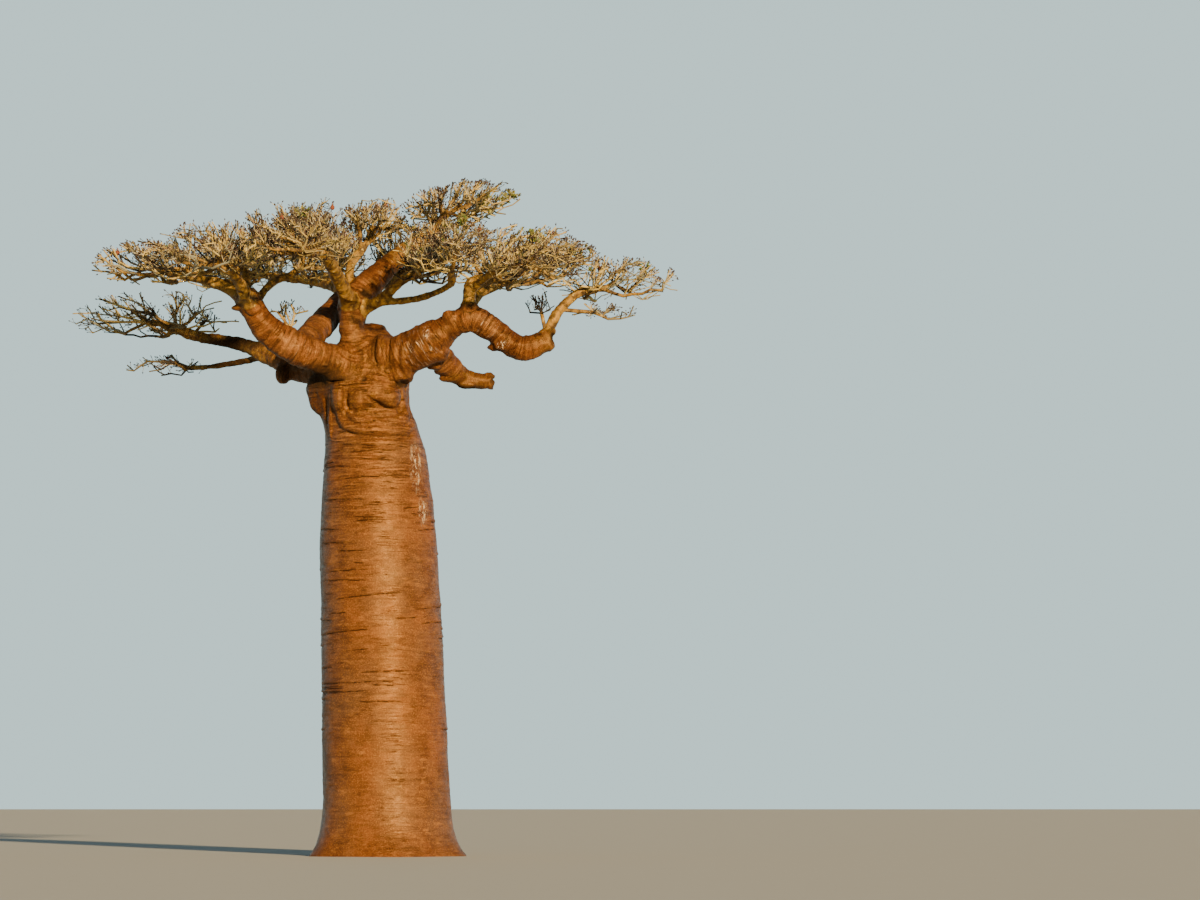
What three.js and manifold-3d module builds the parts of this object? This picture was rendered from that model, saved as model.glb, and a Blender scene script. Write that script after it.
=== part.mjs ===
// A large baobab in its dry season: a bottle-shaped trunk with a knotted head, thick crooked boughs
// and a wide flat crown of bare twigs. Millimetres, +Z up. The origin is the middle of the flat cut
// under the trunk, at ground level. +X is to the right and -Y is towards the viewer.
import * as THREE from "three";
import { mergeVertices } from "three/addons/utils/BufferGeometryUtils.js";
import Module from "manifold-3d";

const wasm = await Module();
wasm.setup();

// Clearance between pieces that meet, and the largest scrap of surface that is tidied away.
const GAP = 0.4;
const TIDY = 0.1;

// The trunk: each station is [height, centre x, radius], from the ground to the top of its head.
const TRUNK_STATIONS = [
  [0, 0, 2060],
  [1750, -10, 2010],
  [6850, -165, 1965],
  [9750, -290, 1885],
  [11350, -345, 1790],
  [13000, -420, 1630],
  [13700, -540, 1480],
  [14400, -660, 1330],
  [15700, -760, 1300],
  [16300, -680, 1080],
  [16750, -600, 700],
  [17000, -560, 250],
];
const TRUNK_SIDES = 26;
const SHAFT_RINGS = 9;
const HEAD_RINGS = 13;
const HEAD_START = 12800;
const FLARE = { reach: 420, height: 520, ribs: 5, depth: 0.3, turn: 0.6 };
const FLARE_RINGS = [0, 220, 520, 1000];

// Swellings on the trunk's head. The angle is in degrees from +X, and 270 faces the viewer.
const LOBES = [
  { angle: 182, height: 14900, reach: 620, tall: 750, wide: 38 },
  { angle: 238, height: 14750, reach: 260, tall: 650, wide: 15 },
  { angle: 286, height: 14900, reach: 480, tall: 560, wide: 32 },
  { angle: 290, height: 13900, reach: 150, tall: 210, wide: 52 },
  { angle: 20, height: 15700, reach: 300, tall: 520, wide: 34 },
  { angle: 100, height: 14800, reach: 380, tall: 700, wide: 40 },
];

// The limbs: each station is [x, y, z, radius], from a foot sunk in what carries the limb to its tip.
const LIMB_SIDES = 8;
const RINGS_EACH = 2;
const LIMBS = {
  left_bough: [
    [-800, -600, 15550, 640],
    [-1700, -1300, 15700, 520],
    [-2700, -1900, 16000, 540],
    [-3550, -2300, 16450, 480],
    [-4050, -2600, 17050, 390],
    [-4300, -2700, 17500, 330],
  ],
  left_outer_limb: [
    [-4200, -2650, 17300, 280],
    [-4850, -2600, 17850, 220],
    [-5950, -2300, 18250, 170],
  ],
  left_riser: [
    [-4250, -2600, 17300, 190],
    [-4400, -2300, 17950, 160],
    [-4450, -2000, 18350, 150],
  ],
  left_cross_limb: [
    [-4100, -2550, 17350, 130],
    [-3650, -1900, 18100, 115],
    [-3000, -1300, 18500, 110],
  ],
  front_left_limb: [
    [-4250, -2750, 17300, 220],
    [-4450, -3900, 17850, 180],
    [-4700, -4700, 18150, 150],
  ],
  inner_bough: [
    [-2750, -1500, 16050, 420],
    [-2400, -400, 16700, 440],
    [-1950, 800, 17450, 400],
    [-1350, 2200, 18600, 300],
  ],
  back_left_limb: [
    [-1450, 2000, 18400, 210],
    [-2400, 3200, 18850, 180],
    [-3700, 4000, 19150, 150],
  ],
  back_centre_limb: [
    [-1400, 2100, 18500, 210],
    [-1600, 3300, 18850, 180],
    [-2000, 4200, 19100, 150],
  ],
  back_left_bough: [
    [-1700, 500, 15500, 520],
    [-3000, 1500, 15800, 430],
    [-4300, 2400, 16450, 280],
  ],
  left_lower_limb: [
    [-4200, 2350, 16400, 260],
    [-5150, 2650, 16750, 220],
    [-6500, 2800, 17000, 170],
  ],
  left_lowest_limb: [
    [-4100, 2350, 16350, 120],
    [-4900, 2900, 16200, 100],
    [-6250, 3400, 16050, 80],
  ],
  upright_bough: [
    [-1000, -600, 15950, 420],
    [-1150, -900, 16750, 380],
    [-1100, -800, 17750, 400],
  ],
  upper_right_bough: [
    [-1080, -800, 17600, 440],
    [-600, -500, 18300, 440],
    [450, 0, 19350, 290],
    [1150, 50, 19850, 190],
  ],
  centre_riser: [
    [-1100, -650, 17650, 180],
    [-1250, -500, 18350, 150],
    [-1200, -150, 19050, 130],
  ],
  front_limb: [
    [-1150, -900, 17500, 270],
    [-1450, -2600, 18150, 220],
    [-1750, -4400, 18650, 180],
  ],
  mid_right_limb: [
    [-950, -850, 17300, 210],
    [-150, -1400, 17700, 170],
    [650, -2300, 18250, 140],
  ],
  slender_limb: [
    [-300, -1300, 17580, 120],
    [1050, -2100, 17600, 105],
    [2150, -3600, 17850, 90],
  ],
  right_bough: [
    [-400, -500, 15650, 760],
    [400, -1000, 15850, 700],
    [1350, -1400, 16330, 600],
    [2000, -1500, 16750, 430],
    [2650, -1600, 17050, 420],
    [3250, -1600, 16780, 390],
    [4000, -1400, 16220, 390],
    [4550, -1300, 16130, 380],
    [5250, -1200, 16450, 310],
  ],
  right_riser: [
    [2650, -1600, 16950, 300],
    [2650, -1600, 17700, 200],
    [2750, -1700, 18150, 190],
  ],
  far_right_riser: [
    [5050, -1200, 16450, 190],
    [5500, -1100, 17350, 155],
    [6200, -800, 18000, 130],
  ],
  front_far_right_limb: [
    [2720, -1680, 17950, 130],
    [3350, -2600, 18300, 115],
    [4050, -3500, 18450, 100],
  ],
  broken_stub: [
    [1450, -900, 16200, 380],
    [1900, -300, 15700, 380],
    [2500, 100, 15300, 290],
    [3300, 200, 15200, 230],
  ],
  back_bough: [
    [-850, 600, 15900, 420],
    [-1250, 2000, 16950, 350],
    [-1100, 3300, 18100, 280],
    [-500, 4400, 19000, 200],
  ],
  back_right_bough: [
    [-200, 700, 16000, 480],
    [650, 2200, 16600, 360],
    [2050, 4600, 17750, 270],
  ],
  back_right_riser: [
    [1950, 4450, 17680, 240],
    [2400, 4900, 18250, 200],
    [2850, 5150, 18850, 160],
  ],
};

// Where a limb that bends round a wide gap is split, and the names of the pieces that go on.
const SPLITS = {
  right_bough: [
    { name: "right_bough_outer", station: 4 },
    { name: "right_bough_end", station: 6 },
  ],
};

// The masses of twigs. A mass grows from the tip of the limb it is on, or from its own foot where one
// is given. Its space is a dome that stands on a shallower bowl: half is the reach along x and y and
// the height over the centre, and slope is the rise of its floor along x and y.
const MASSES = {
  left_top_outer: {
    on: "left_outer_limb", centre: [-7500, -1800, 18600], half: [1900, 2600, 900], slope: [0.02, 0],
    stem: 170, seed: 1,
  },
  left_top_inner: {
    on: "left_riser", centre: [-4700, -700, 18850], half: [2050, 2900, 1500], slope: [0.1, 0],
    stem: 150, seed: 2,
  },
  top_centre_left: {
    on: "left_cross_limb", centre: [-2300, -500, 19200], half: [1500, 2900, 1900], slope: [0, 0],
    stem: 110, seed: 3,
  },
  front_left: {
    on: "front_left_limb", centre: [-5400, -5500, 18350], half: [2200, 2300, 1200], slope: [0.1, 0.05],
    stem: 150, seed: 4,
  },
  front_centre: {
    on: "front_limb", centre: [-2700, -5900, 18700], half: [1900, 2500, 1400], slope: [0, 0.05],
    stem: 180, seed: 5,
  },
  front_right: {
    on: "slender_limb", centre: [2250, -5800, 18450], half: [1900, 2500, 1200], slope: [0, 0.05],
    stem: 90, seed: 6,
  },
  front_far_right: {
    on: "front_far_right_limb", centre: [4950, -4900, 18250], half: [1900, 2200, 1050],
    slope: [0.05, 0.05], stem: 100, seed: 7,
  },
  top_centre: {
    on: "centre_riser", centre: [-450, 400, 20150], half: [1600, 2700, 1000], slope: [0.05, 0],
    stem: 130, seed: 8,
  },
  top_right: {
    on: "upper_right_bough", centre: [2050, 200, 20700], half: [2250, 2700, 950], slope: [0.2, 0],
    stem: 180, seed: 9,
  },
  mid_right_inner: {
    on: "mid_right_limb", centre: [1450, -2700, 18450], half: [1300, 1700, 1000], slope: [0.05, 0],
    stem: 140, seed: 10,
  },
  right_mid: {
    on: "right_riser", centre: [4150, -400, 18850], half: [2400, 2800, 1350], slope: [0.12, 0],
    stem: 190, seed: 11,
  },
  far_right: {
    on: "far_right_riser", centre: [7250, -300, 18250], half: [2200, 2500, 950], slope: [0, 0],
    stem: 130, seed: 12,
  },
  left_lower: {
    on: "left_lower_limb", centre: [-7900, 2800, 17500], half: [2900, 2200, 1050], slope: [0.02, 0],
    stem: 170, seed: 13,
  },
  left_lowest: {
    on: "left_lowest_limb", centre: [-7600, 3500, 16000], half: [1350, 1100, 480], slope: [0, 0],
    stem: 80, seed: 14, sparse: true,
  },
  back_left: {
    on: "back_left_limb", centre: [-5200, 5300, 19450], half: [2300, 2700, 1300], slope: [0.08, 0],
    stem: 150, seed: 15,
  },
  back_centre: {
    on: "back_centre_limb", centre: [-2500, 5600, 19700], half: [1900, 2700, 1400], slope: [0.03, 0],
    stem: 150, seed: 16,
  },
  back_right: {
    on: "back_bough", centre: [700, 5600, 19850], half: [2100, 2700, 1400], slope: [0.03, 0],
    stem: 200, seed: 17,
  },
  back_far_right: {
    on: "back_right_riser", centre: [4300, 5300, 19500], half: [2300, 2600, 1150], slope: [0.02, 0],
    stem: 160, seed: 18,
  },
  riser_clump: {
    on: "right_bough", foot: [5080, -1230, 16600], centre: [4900, -1300, 17450],
    half: [520, 550, 550], slope: [0, 0], stem: 60, seed: 19, sparse: true,
  },
  dead_branch: {
    on: "far_right_riser", foot: [5550, -1080, 17380], centre: [7000, -900, 17280],
    half: [1150, 700, 420], slope: [0, 0], stem: 65, seed: 20, sparse: true,
  },
  back_clump: {
    on: "back_left_bough", foot: [-3400, 1800, 16150], centre: [-3450, 3000, 17600],
    half: [750, 900, 600], slope: [0, 0], stem: 70, seed: 21, sparse: true,
  },
};

// Twigs go first to points all over the skin of a mass's space, then to points inside it. The bowl
// under the dome is this share of the dome's height.
const BOWL_SHARE = 0.45;
const RIM_TWIGS = 27;
const INNER_TWIGS = 32;
const SPARSE_SHARE = 0.4;
const RIM_REACH = 0.97;
const GOLDEN_ANGLE = Math.PI * (3 - Math.sqrt(5));
const SPREAD = [0.8191725134, 0.6710436067, 0.5497004779];
const SEED_STEP = [0.3579, 0.1234, 0.7531];

// How a twig chooses what it grows from: the weight of the way back to the foot, and the costs of
// rising and of hanging.
const PATH_WEIGHT = 0.45;
const RISE_COST = 0.75;
const FALL_COST = 1.3;

// A mass's stem: how far its foot is sunk, in its own radii, and its length as a share of the way to
// the mass's centre, from a limb's tip or from a limb's side.
const SUNK = 0.6;
const TIP_STEM = 0.45;
const SIDE_STEM = 0.75;

// Twigs thin out as the tips they carry grow fewer, down to the least radius. They keep clear of
// other masses, by a share of a space, and of limbs, in millimetres.
const TAPER_POWER = 2;
const LEAST_RADIUS = 24;
const BORDER = 0.05;
const LIMB_CLEARANCE = 40;
const TWIG_CHECKS = 4;

const bark = new THREE.MeshStandardMaterial({ color: 0xa55f33, roughness: 0.75, metalness: 0 });
const paleTwig = new THREE.MeshStandardMaterial({ color: 0xb08a58, roughness: 0.85, metalness: 0 });

// The value at height h between stations [height, ...values], along smooth steps.
function between(stations, h) {
  let i = 1;
  while (i < stations.length - 1 && stations[i][0] < h) i += 1;
  const [low, high] = [stations[i - 1], stations[i]];
  const share = THREE.MathUtils.clamp((h - low[0]) / (high[0] - low[0]), 0, 1);
  return low.slice(1).map((value, k) => THREE.MathUtils.lerp(value, high[k + 1], share));
}

// The trunk's radius at an angle and height, with its root flare and the swellings of its head.
function trunkRadius(angle, height) {
  const ribs = 1 + FLARE.depth * Math.cos(FLARE.ribs * angle + FLARE.turn);
  let radius = between(TRUNK_STATIONS, height)[1];
  radius += FLARE.reach * ribs * Math.exp(-height / FLARE.height);
  for (const lobe of LOBES) {
    const turn = angle - THREE.MathUtils.degToRad(lobe.angle);
    const away = Math.atan2(Math.sin(turn), Math.cos(turn)) / THREE.MathUtils.degToRad(lobe.wide);
    const up = (height - lobe.height) / lobe.tall;
    radius += lobe.reach * Math.exp(-away * away - up * up);
  }
  return radius;
}

// A closed solid from rings of points, each ring in order. It starts flat, and it ends flat too or,
// where an apex is given, in a point.
function skin(rings, apex = null) {
  const sides = rings[0].length;
  const positions = rings.flat().flatMap((p) => [p.x, p.y, p.z]);
  const index = [];
  for (let r = 0; r + 1 < rings.length; r += 1) {
    for (let s = 0; s < sides; s += 1) {
      const next = (s + 1) % sides;
      const [a, b] = [r * sides + s, r * sides + next];
      const [c, d] = [a + sides, b + sides];
      index.push(a, b, d, a, d, c);
    }
  }
  const last = (rings.length - 1) * sides;
  for (let s = 1; s + 1 < sides; s += 1) {
    index.push(0, s + 1, s);
    if (!apex) index.push(last, last + s, last + s + 1);
  }
  if (apex) {
    positions.push(apex.x, apex.y, apex.z);
    for (let s = 0; s < sides; s += 1) index.push(last + s, last + ((s + 1) % sides), last + sides);
  }
  const geometry = new THREE.BufferGeometry();
  geometry.setAttribute("position", new THREE.Float32BufferAttribute(positions, 3));
  geometry.setIndex(index);
  return solidOf(geometry);
}

function solidOf(geometry) {
  const merged = mergeVertices(geometry, 1e-3);
  const vertProperties = merged.attributes.position.array;
  const triVerts = new Uint32Array(merged.index.array);
  return new wasm.Manifold(new wasm.Mesh({ numProp: 3, vertProperties, triVerts }));
}

function geometryOf(solid) {
  const mesh = solid.getMesh();
  const positions = new Float32Array(mesh.numVert * 3);
  for (let i = 0; i < mesh.numVert; i += 1) {
    positions.set(mesh.vertProperties.subarray(i * mesh.numProp, i * mesh.numProp + 3), i * 3);
  }
  const geometry = new THREE.BufferGeometry();
  geometry.setAttribute("position", new THREE.BufferAttribute(positions, 3));
  geometry.setIndex(new THREE.BufferAttribute(mesh.triVerts, 1));
  return geometry;
}

// The trunk, grown by a clearance where it serves as a cutter.
function trunkSolid(grow = 0) {
  const top = TRUNK_STATIONS.at(-1)[0];
  const heights = [...FLARE_RINGS];
  const shaftStart = FLARE_RINGS.at(-1);
  for (let i = 1; i <= SHAFT_RINGS; i += 1) {
    heights.push(THREE.MathUtils.lerp(shaftStart, HEAD_START, i / SHAFT_RINGS));
  }
  for (let i = 1; i <= HEAD_RINGS; i += 1) {
    heights.push(THREE.MathUtils.lerp(HEAD_START, top, i / HEAD_RINGS));
  }
  const rings = heights.map((height) =>
    Array.from({ length: TRUNK_SIDES }, (_, s) => {
      const angle = (s / TRUNK_SIDES) * Math.PI * 2;
      const radius = trunkRadius(angle, height) + grow;
      const [centre] = between(TRUNK_STATIONS, height);
      const z = height === top ? height + grow : height;
      return new THREE.Vector3(centre + radius * Math.cos(angle), radius * Math.sin(angle), z);
    }),
  );
  return skin(rings);
}

// Rings round a line of points, turned as little as possible from one to the next.
function ringsAlong(points, radii, sides) {
  const tangents = points.map((_, i) => {
    const before = points[Math.max(0, i - 1)];
    const after = points[Math.min(points.length - 1, i + 1)];
    return after.clone().sub(before).normalize();
  });
  const start = Math.abs(tangents[0].z) < 0.9 ? new THREE.Vector3(0, 0, 1) : new THREE.Vector3(1, 0, 0);
  let side = new THREE.Vector3().crossVectors(tangents[0], start).normalize();
  return points.map((point, i) => {
    side = side.clone().addScaledVector(tangents[i], -side.dot(tangents[i])).normalize();
    const other = new THREE.Vector3().crossVectors(tangents[i], side);
    return Array.from({ length: sides }, (_, s) => {
      const angle = (s / sides) * Math.PI * 2;
      return point.clone()
        .addScaledVector(side, radii[i] * Math.cos(angle))
        .addScaledVector(other, radii[i] * Math.sin(angle));
    });
  });
}

// A limb's centreline and radii, with RINGS_EACH steps from one of its stations to the next.
function limbLine(stations) {
  const curve = new THREE.CatmullRomCurve3(
    stations.map(([x, y, z]) => new THREE.Vector3(x, y, z)), false, "catmullrom", 0.5,
  );
  const stretches = stations.length - 1;
  const points = [];
  const radii = [];
  for (let i = 0; i <= stretches * RINGS_EACH; i += 1) {
    const low = Math.min(Math.floor(i / RINGS_EACH), stretches - 1);
    points.push(curve.getPoint(i / (stretches * RINGS_EACH)));
    radii.push(THREE.MathUtils.lerp(stations[low][3], stations[low + 1][3], i / RINGS_EACH - low));
  }
  return { points, radii };
}

// A limb grown by a clearance, to cut others with.
function limbCutter({ points, radii }) {
  const along = (a, b) => points.at(a).clone().sub(points.at(b)).setLength(GAP);
  const line = [...points];
  line[0] = points[0].clone().add(along(0, 1));
  line[line.length - 1] = points.at(-1).clone().add(along(-1, -2));
  return skin(ringsAlong(line, radii.map((r) => r + GAP), LIMB_SIDES));
}

// A limb's pieces: one, or more where it is split at its bends, each a gap clear of the one before.
function limbPieces(name, { points, radii }) {
  const rings = ringsAlong(points, radii, LIMB_SIDES);
  const splits = SPLITS[name] ?? [];
  const names = [name, ...splits.map((split) => split.name)];
  const ends = [...splits.map((split) => split.station * RINGS_EACH), rings.length - 1];
  return names.map((piece, k) => {
    const own = rings.slice(k ? ends[k - 1] : 0, ends[k] + 1);
    const lift = own[1][0].clone().sub(own[0][0]).setLength(k ? GAP : 0);
    return { name: piece, solid: skin([own[0].map((p) => p.clone().add(lift)), ...own.slice(1)]) };
  });
}

function touches(a, b) {
  const [boxA, boxB] = [a.boundingBox(), b.boundingBox()];
  return [0, 1, 2].every((k) => boxA.min[k] < boxB.max[k] && boxB.min[k] < boxA.max[k]);
}

// The largest piece of a solid once the cutters near it are taken away.
function cutClear(solid, cutters) {
  const near = cutters.filter((cutter) => touches(solid, cutter));
  const left = near.reduce((rest, cutter) => rest.subtract(cutter), solid);
  const pieces = left.simplify(TIDY).decompose();
  return pieces.reduce((best, piece) => (piece.volume() > best.volume() ? piece : best));
}

// How far out in a mass's space a point lies: 0 at its centre and 1 on its skin.
function depthIn(mass, p) {
  const [dx, dy] = [p.x - mass.centre[0], p.y - mass.centre[1]];
  const dz = p.z - mass.centre[2] - mass.slope[0] * dx - mass.slope[1] * dy;
  const tall = dz < 0 ? mass.half[2] * BOWL_SHARE : mass.half[2];
  return Math.hypot(dx / mass.half[0], dy / mass.half[1], dz / tall);
}

// The point of a mass's space that stands for a point of the unit ball.
function placeIn(mass, [u, v, w]) {
  const tall = w < 0 ? mass.half[2] * BOWL_SHARE : mass.half[2];
  const [dx, dy] = [u * mass.half[0], v * mass.half[1]];
  const dz = w * tall + mass.slope[0] * dx + mass.slope[1] * dy;
  return new THREE.Vector3(mass.centre[0] + dx, mass.centre[1] + dy, mass.centre[2] + dz);
}

// A mass keeps to the part of its space that lies deeper in it than in any other.
function isOwn(mass, p) {
  const depth = depthIn(mass, p);
  if (depth > 1) return false;
  return Object.values(MASSES).every((other) => other === mass || depth + BORDER < depthIn(other, p));
}

function rimPoints(mass, count) {
  return Array.from({ length: count }, (_, i) => {
    const w = 1 - (2 * (i + 0.5)) / count;
    const angle = i * GOLDEN_ANGLE + mass.seed;
    const flat = Math.sqrt(1 - w * w) * RIM_REACH;
    return placeIn(mass, [flat * Math.cos(angle), flat * Math.sin(angle), w * RIM_REACH]);
  });
}

// Evenly spread points of the mass's space: an additive sequence that never clumps.
function innerPoints(mass, count) {
  const found = [];
  for (let i = 1; found.length < count; i += 1) {
    const unit = SPREAD.map((step, k) => 2 * ((i * step + mass.seed * SEED_STEP[k]) % 1) - 1);
    if (Math.hypot(...unit) <= 1) found.push(placeIn(mass, unit));
  }
  return found;
}

// How far a point is from the side of a limb or stem.
function distanceToLimb(p, line) {
  let best = Infinity;
  const nearest = new THREE.Vector3();
  for (let i = 0; i + 1 < line.points.length; i += 1) {
    const stretch = new THREE.Line3(line.points[i], line.points[i + 1]);
    stretch.closestPointToPoint(p, true, nearest);
    best = Math.min(best, nearest.distanceTo(p) - Math.max(line.radii[i], line.radii[i + 1]));
  }
  return best;
}

function twigIsClear(mass, from, to, obstacles) {
  const p = new THREE.Vector3();
  for (let i = 1; i <= TWIG_CHECKS; i += 1) {
    p.lerpVectors(from, to, i / TWIG_CHECKS);
    if (!isOwn(mass, p)) return false;
    if (obstacles.some((line) => distanceToLimb(p, line) < LIMB_CLEARANCE + LEAST_RADIUS)) return false;
  }
  return true;
}

// The stem of a mass, from its foot, sunk in its limb, to the crotch where its twigs part.
function stemOf(mass, lines) {
  const tip = lines[mass.on].points.at(-1);
  const back = lines[mass.on].points.at(-2).clone().sub(tip).setLength(mass.stem * SUNK);
  const foot = mass.foot ? new THREE.Vector3(...mass.foot) : tip.clone().add(back);
  const crotch = foot.clone().lerp(new THREE.Vector3(...mass.centre), mass.foot ? SIDE_STEM : TIP_STEM);
  return { points: [foot, crotch], radii: [mass.stem, mass.stem] };
}

// What it costs to grow from one point to another: rising is cheap and hanging is dear.
function growthCost(from, to) {
  const rise = to.z - from.z;
  const upright = rise * (rise > 0 ? RISE_COST : FALL_COST);
  return Math.hypot(to.x - from.x, to.y - from.y, upright);
}

// The branching of a mass: points join, nearest the foot first, to whichever point already there
// costs the least in new growth and in the way back to the foot.
function growTwigs(mass, stem, obstacles) {
  const [foot, crotch] = stem.points;
  const nodes = [
    { point: foot, parent: -1, path: 0 },
    { point: crotch, parent: 0, path: foot.distanceTo(crotch) },
  ];
  const share = mass.sparse ? SPARSE_SHARE : 1;
  const points = [
    ...rimPoints(mass, Math.round(RIM_TWIGS * share)),
    ...innerPoints(mass, Math.round(INNER_TWIGS * share)),
  ].filter((p) => isOwn(mass, p));
  points.sort((a, b) => growthCost(foot, a) - growthCost(foot, b));
  for (const point of points) {
    let best = null;
    let least = Infinity;
    nodes.forEach((node, i) => {
      const cost = growthCost(node.point, point) + PATH_WEIGHT * node.path;
      if (i > 0 && cost < least) [best, least] = [i, cost];
    });
    const from = nodes[best];
    if (!twigIsClear(mass, from.point, point, obstacles)) continue;
    nodes.push({ point, parent: best, path: from.path + from.point.distanceTo(point) });
  }
  return nodes;
}

// One solid of three-sided twigs, each running on through its thickest child and sunk in its parent.
function twigSolid(mass, nodes, grow = 0) {
  const children = nodes.map(() => []);
  nodes.forEach((node, i) => node.parent >= 0 && children[node.parent].push(i));
  const tips = nodes.map(() => 0);
  for (let i = nodes.length - 1; i >= 0; i -= 1) {
    tips[i] = Math.max(1, children[i].reduce((sum, c) => sum + tips[c], 0));
  }
  const radiusAt = (i) => grow + Math.max(LEAST_RADIUS, mass.stem * (tips[i] / tips[0]) ** (1 / TAPER_POWER));
  const solids = [];
  const starts = [[0, -1]];
  while (starts.length) {
    const [first, from] = starts.pop();
    const line = from < 0 ? [] : [nodes[from].point];
    const radii = from < 0 ? [] : [radiusAt(first)];
    let i = first;
    for (;;) {
      line.push(nodes[i].point);
      radii.push(radiusAt(i));
      if (!children[i].length) break;
      const heir = children[i].reduce((best, c) => (tips[c] > tips[best] ? c : best));
      for (const c of children[i]) if (c !== heir) starts.push([c, i]);
      i = heir;
    }
    solids.push(skin(ringsAlong(line, radii, 3).slice(0, -1), line.at(-1)));
  }
  return wasm.Manifold.union(solids);
}

function pieceOf(name, solid, material) {
  const mesh = new THREE.Mesh(geometryOf(solid), material.clone());
  mesh.name = name;
  return mesh;
}

const tree = new THREE.Group();
const cutters = [trunkSolid(GAP)];
tree.add(pieceOf("trunk", trunkSolid(), bark));

const lines = {};
for (const [name, stations] of Object.entries(LIMBS)) {
  lines[name] = limbLine(stations);
  for (const piece of limbPieces(name, lines[name])) {
    tree.add(pieceOf(piece.name, cutClear(piece.solid, cutters), bark));
  }
  cutters.push(limbCutter(lines[name]));
}

const stems = {};
for (const [name, mass] of Object.entries(MASSES)) stems[name] = stemOf(mass, lines);

for (const [name, mass] of Object.entries(MASSES)) {
  const others = Object.values(stems).filter((stem) => stem !== stems[name]);
  const nodes = growTwigs(mass, stems[name], [...Object.values(lines), ...others]);
  tree.add(pieceOf(`${name}_twigs`, cutClear(twigSolid(mass, nodes), cutters), paleTwig));
  cutters.push(twigSolid(mass, nodes, GAP));
}

export default tree;
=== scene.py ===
"""A large baobab in its dry season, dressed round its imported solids.

One skin of bark runs over the trunk and every bough, with its creases, rolls and knobs as real
relief. The masses of twigs grow on from the boughs by the rule that made the solids, carried to
finer twigs with buds. Metres, +Z up, and -Y is towards the viewer.
"""
import math

import bmesh
import bpy
import numpy as np
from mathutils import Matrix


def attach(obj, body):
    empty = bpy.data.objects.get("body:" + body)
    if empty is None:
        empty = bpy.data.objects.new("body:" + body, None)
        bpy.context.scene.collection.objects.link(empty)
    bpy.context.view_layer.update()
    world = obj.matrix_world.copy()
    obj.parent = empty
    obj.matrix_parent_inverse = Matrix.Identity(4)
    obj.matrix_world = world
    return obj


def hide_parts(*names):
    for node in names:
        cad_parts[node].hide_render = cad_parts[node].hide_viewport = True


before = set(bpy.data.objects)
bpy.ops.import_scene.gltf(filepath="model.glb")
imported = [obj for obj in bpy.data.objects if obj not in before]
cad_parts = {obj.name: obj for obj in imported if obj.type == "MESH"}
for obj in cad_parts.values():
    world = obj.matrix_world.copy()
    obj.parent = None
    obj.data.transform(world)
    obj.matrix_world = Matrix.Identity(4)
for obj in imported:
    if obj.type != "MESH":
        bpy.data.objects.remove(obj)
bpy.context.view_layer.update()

BODY = "root"

# Trunk and limbs, as in the part's source

# Each station is (height, centre x, radius), from the ground to the top of the head.
TRUNK_STATIONS = np.array([
    (0, 0, 2.06),
    (1.75, -0.01, 2.01),
    (6.85, -0.165, 1.965),
    (9.75, -0.29, 1.885),
    (11.35, -0.345, 1.79),
    (13, -0.42, 1.63),
    (13.7, -0.54, 1.48),
    (14.4, -0.66, 1.33),
    (15.7, -0.76, 1.3),
    (16.3, -0.68, 1.08),
    (16.75, -0.6, 0.7),
    (17, -0.56, 0.25),
])
FLARE_REACH = 0.42
FLARE_HEIGHT = 0.52
FLARE_RIBS = 5
FLARE_DEPTH = 0.3
FLARE_TURN = 0.6

# Swellings of the head: angle in degrees from +X (270 faces the viewer), height, reach, how tall
# and how many degrees wide.
LOBES = [
    (182, 14.9, 0.62, 0.75, 38),
    (238, 14.75, 0.26, 0.65, 15),
    (286, 14.9, 0.48, 0.56, 32),
    (290, 13.9, 0.15, 0.21, 52),
    (20, 15.7, 0.3, 0.52, 34),
    (100, 14.8, 0.38, 0.7, 40),
]

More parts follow.
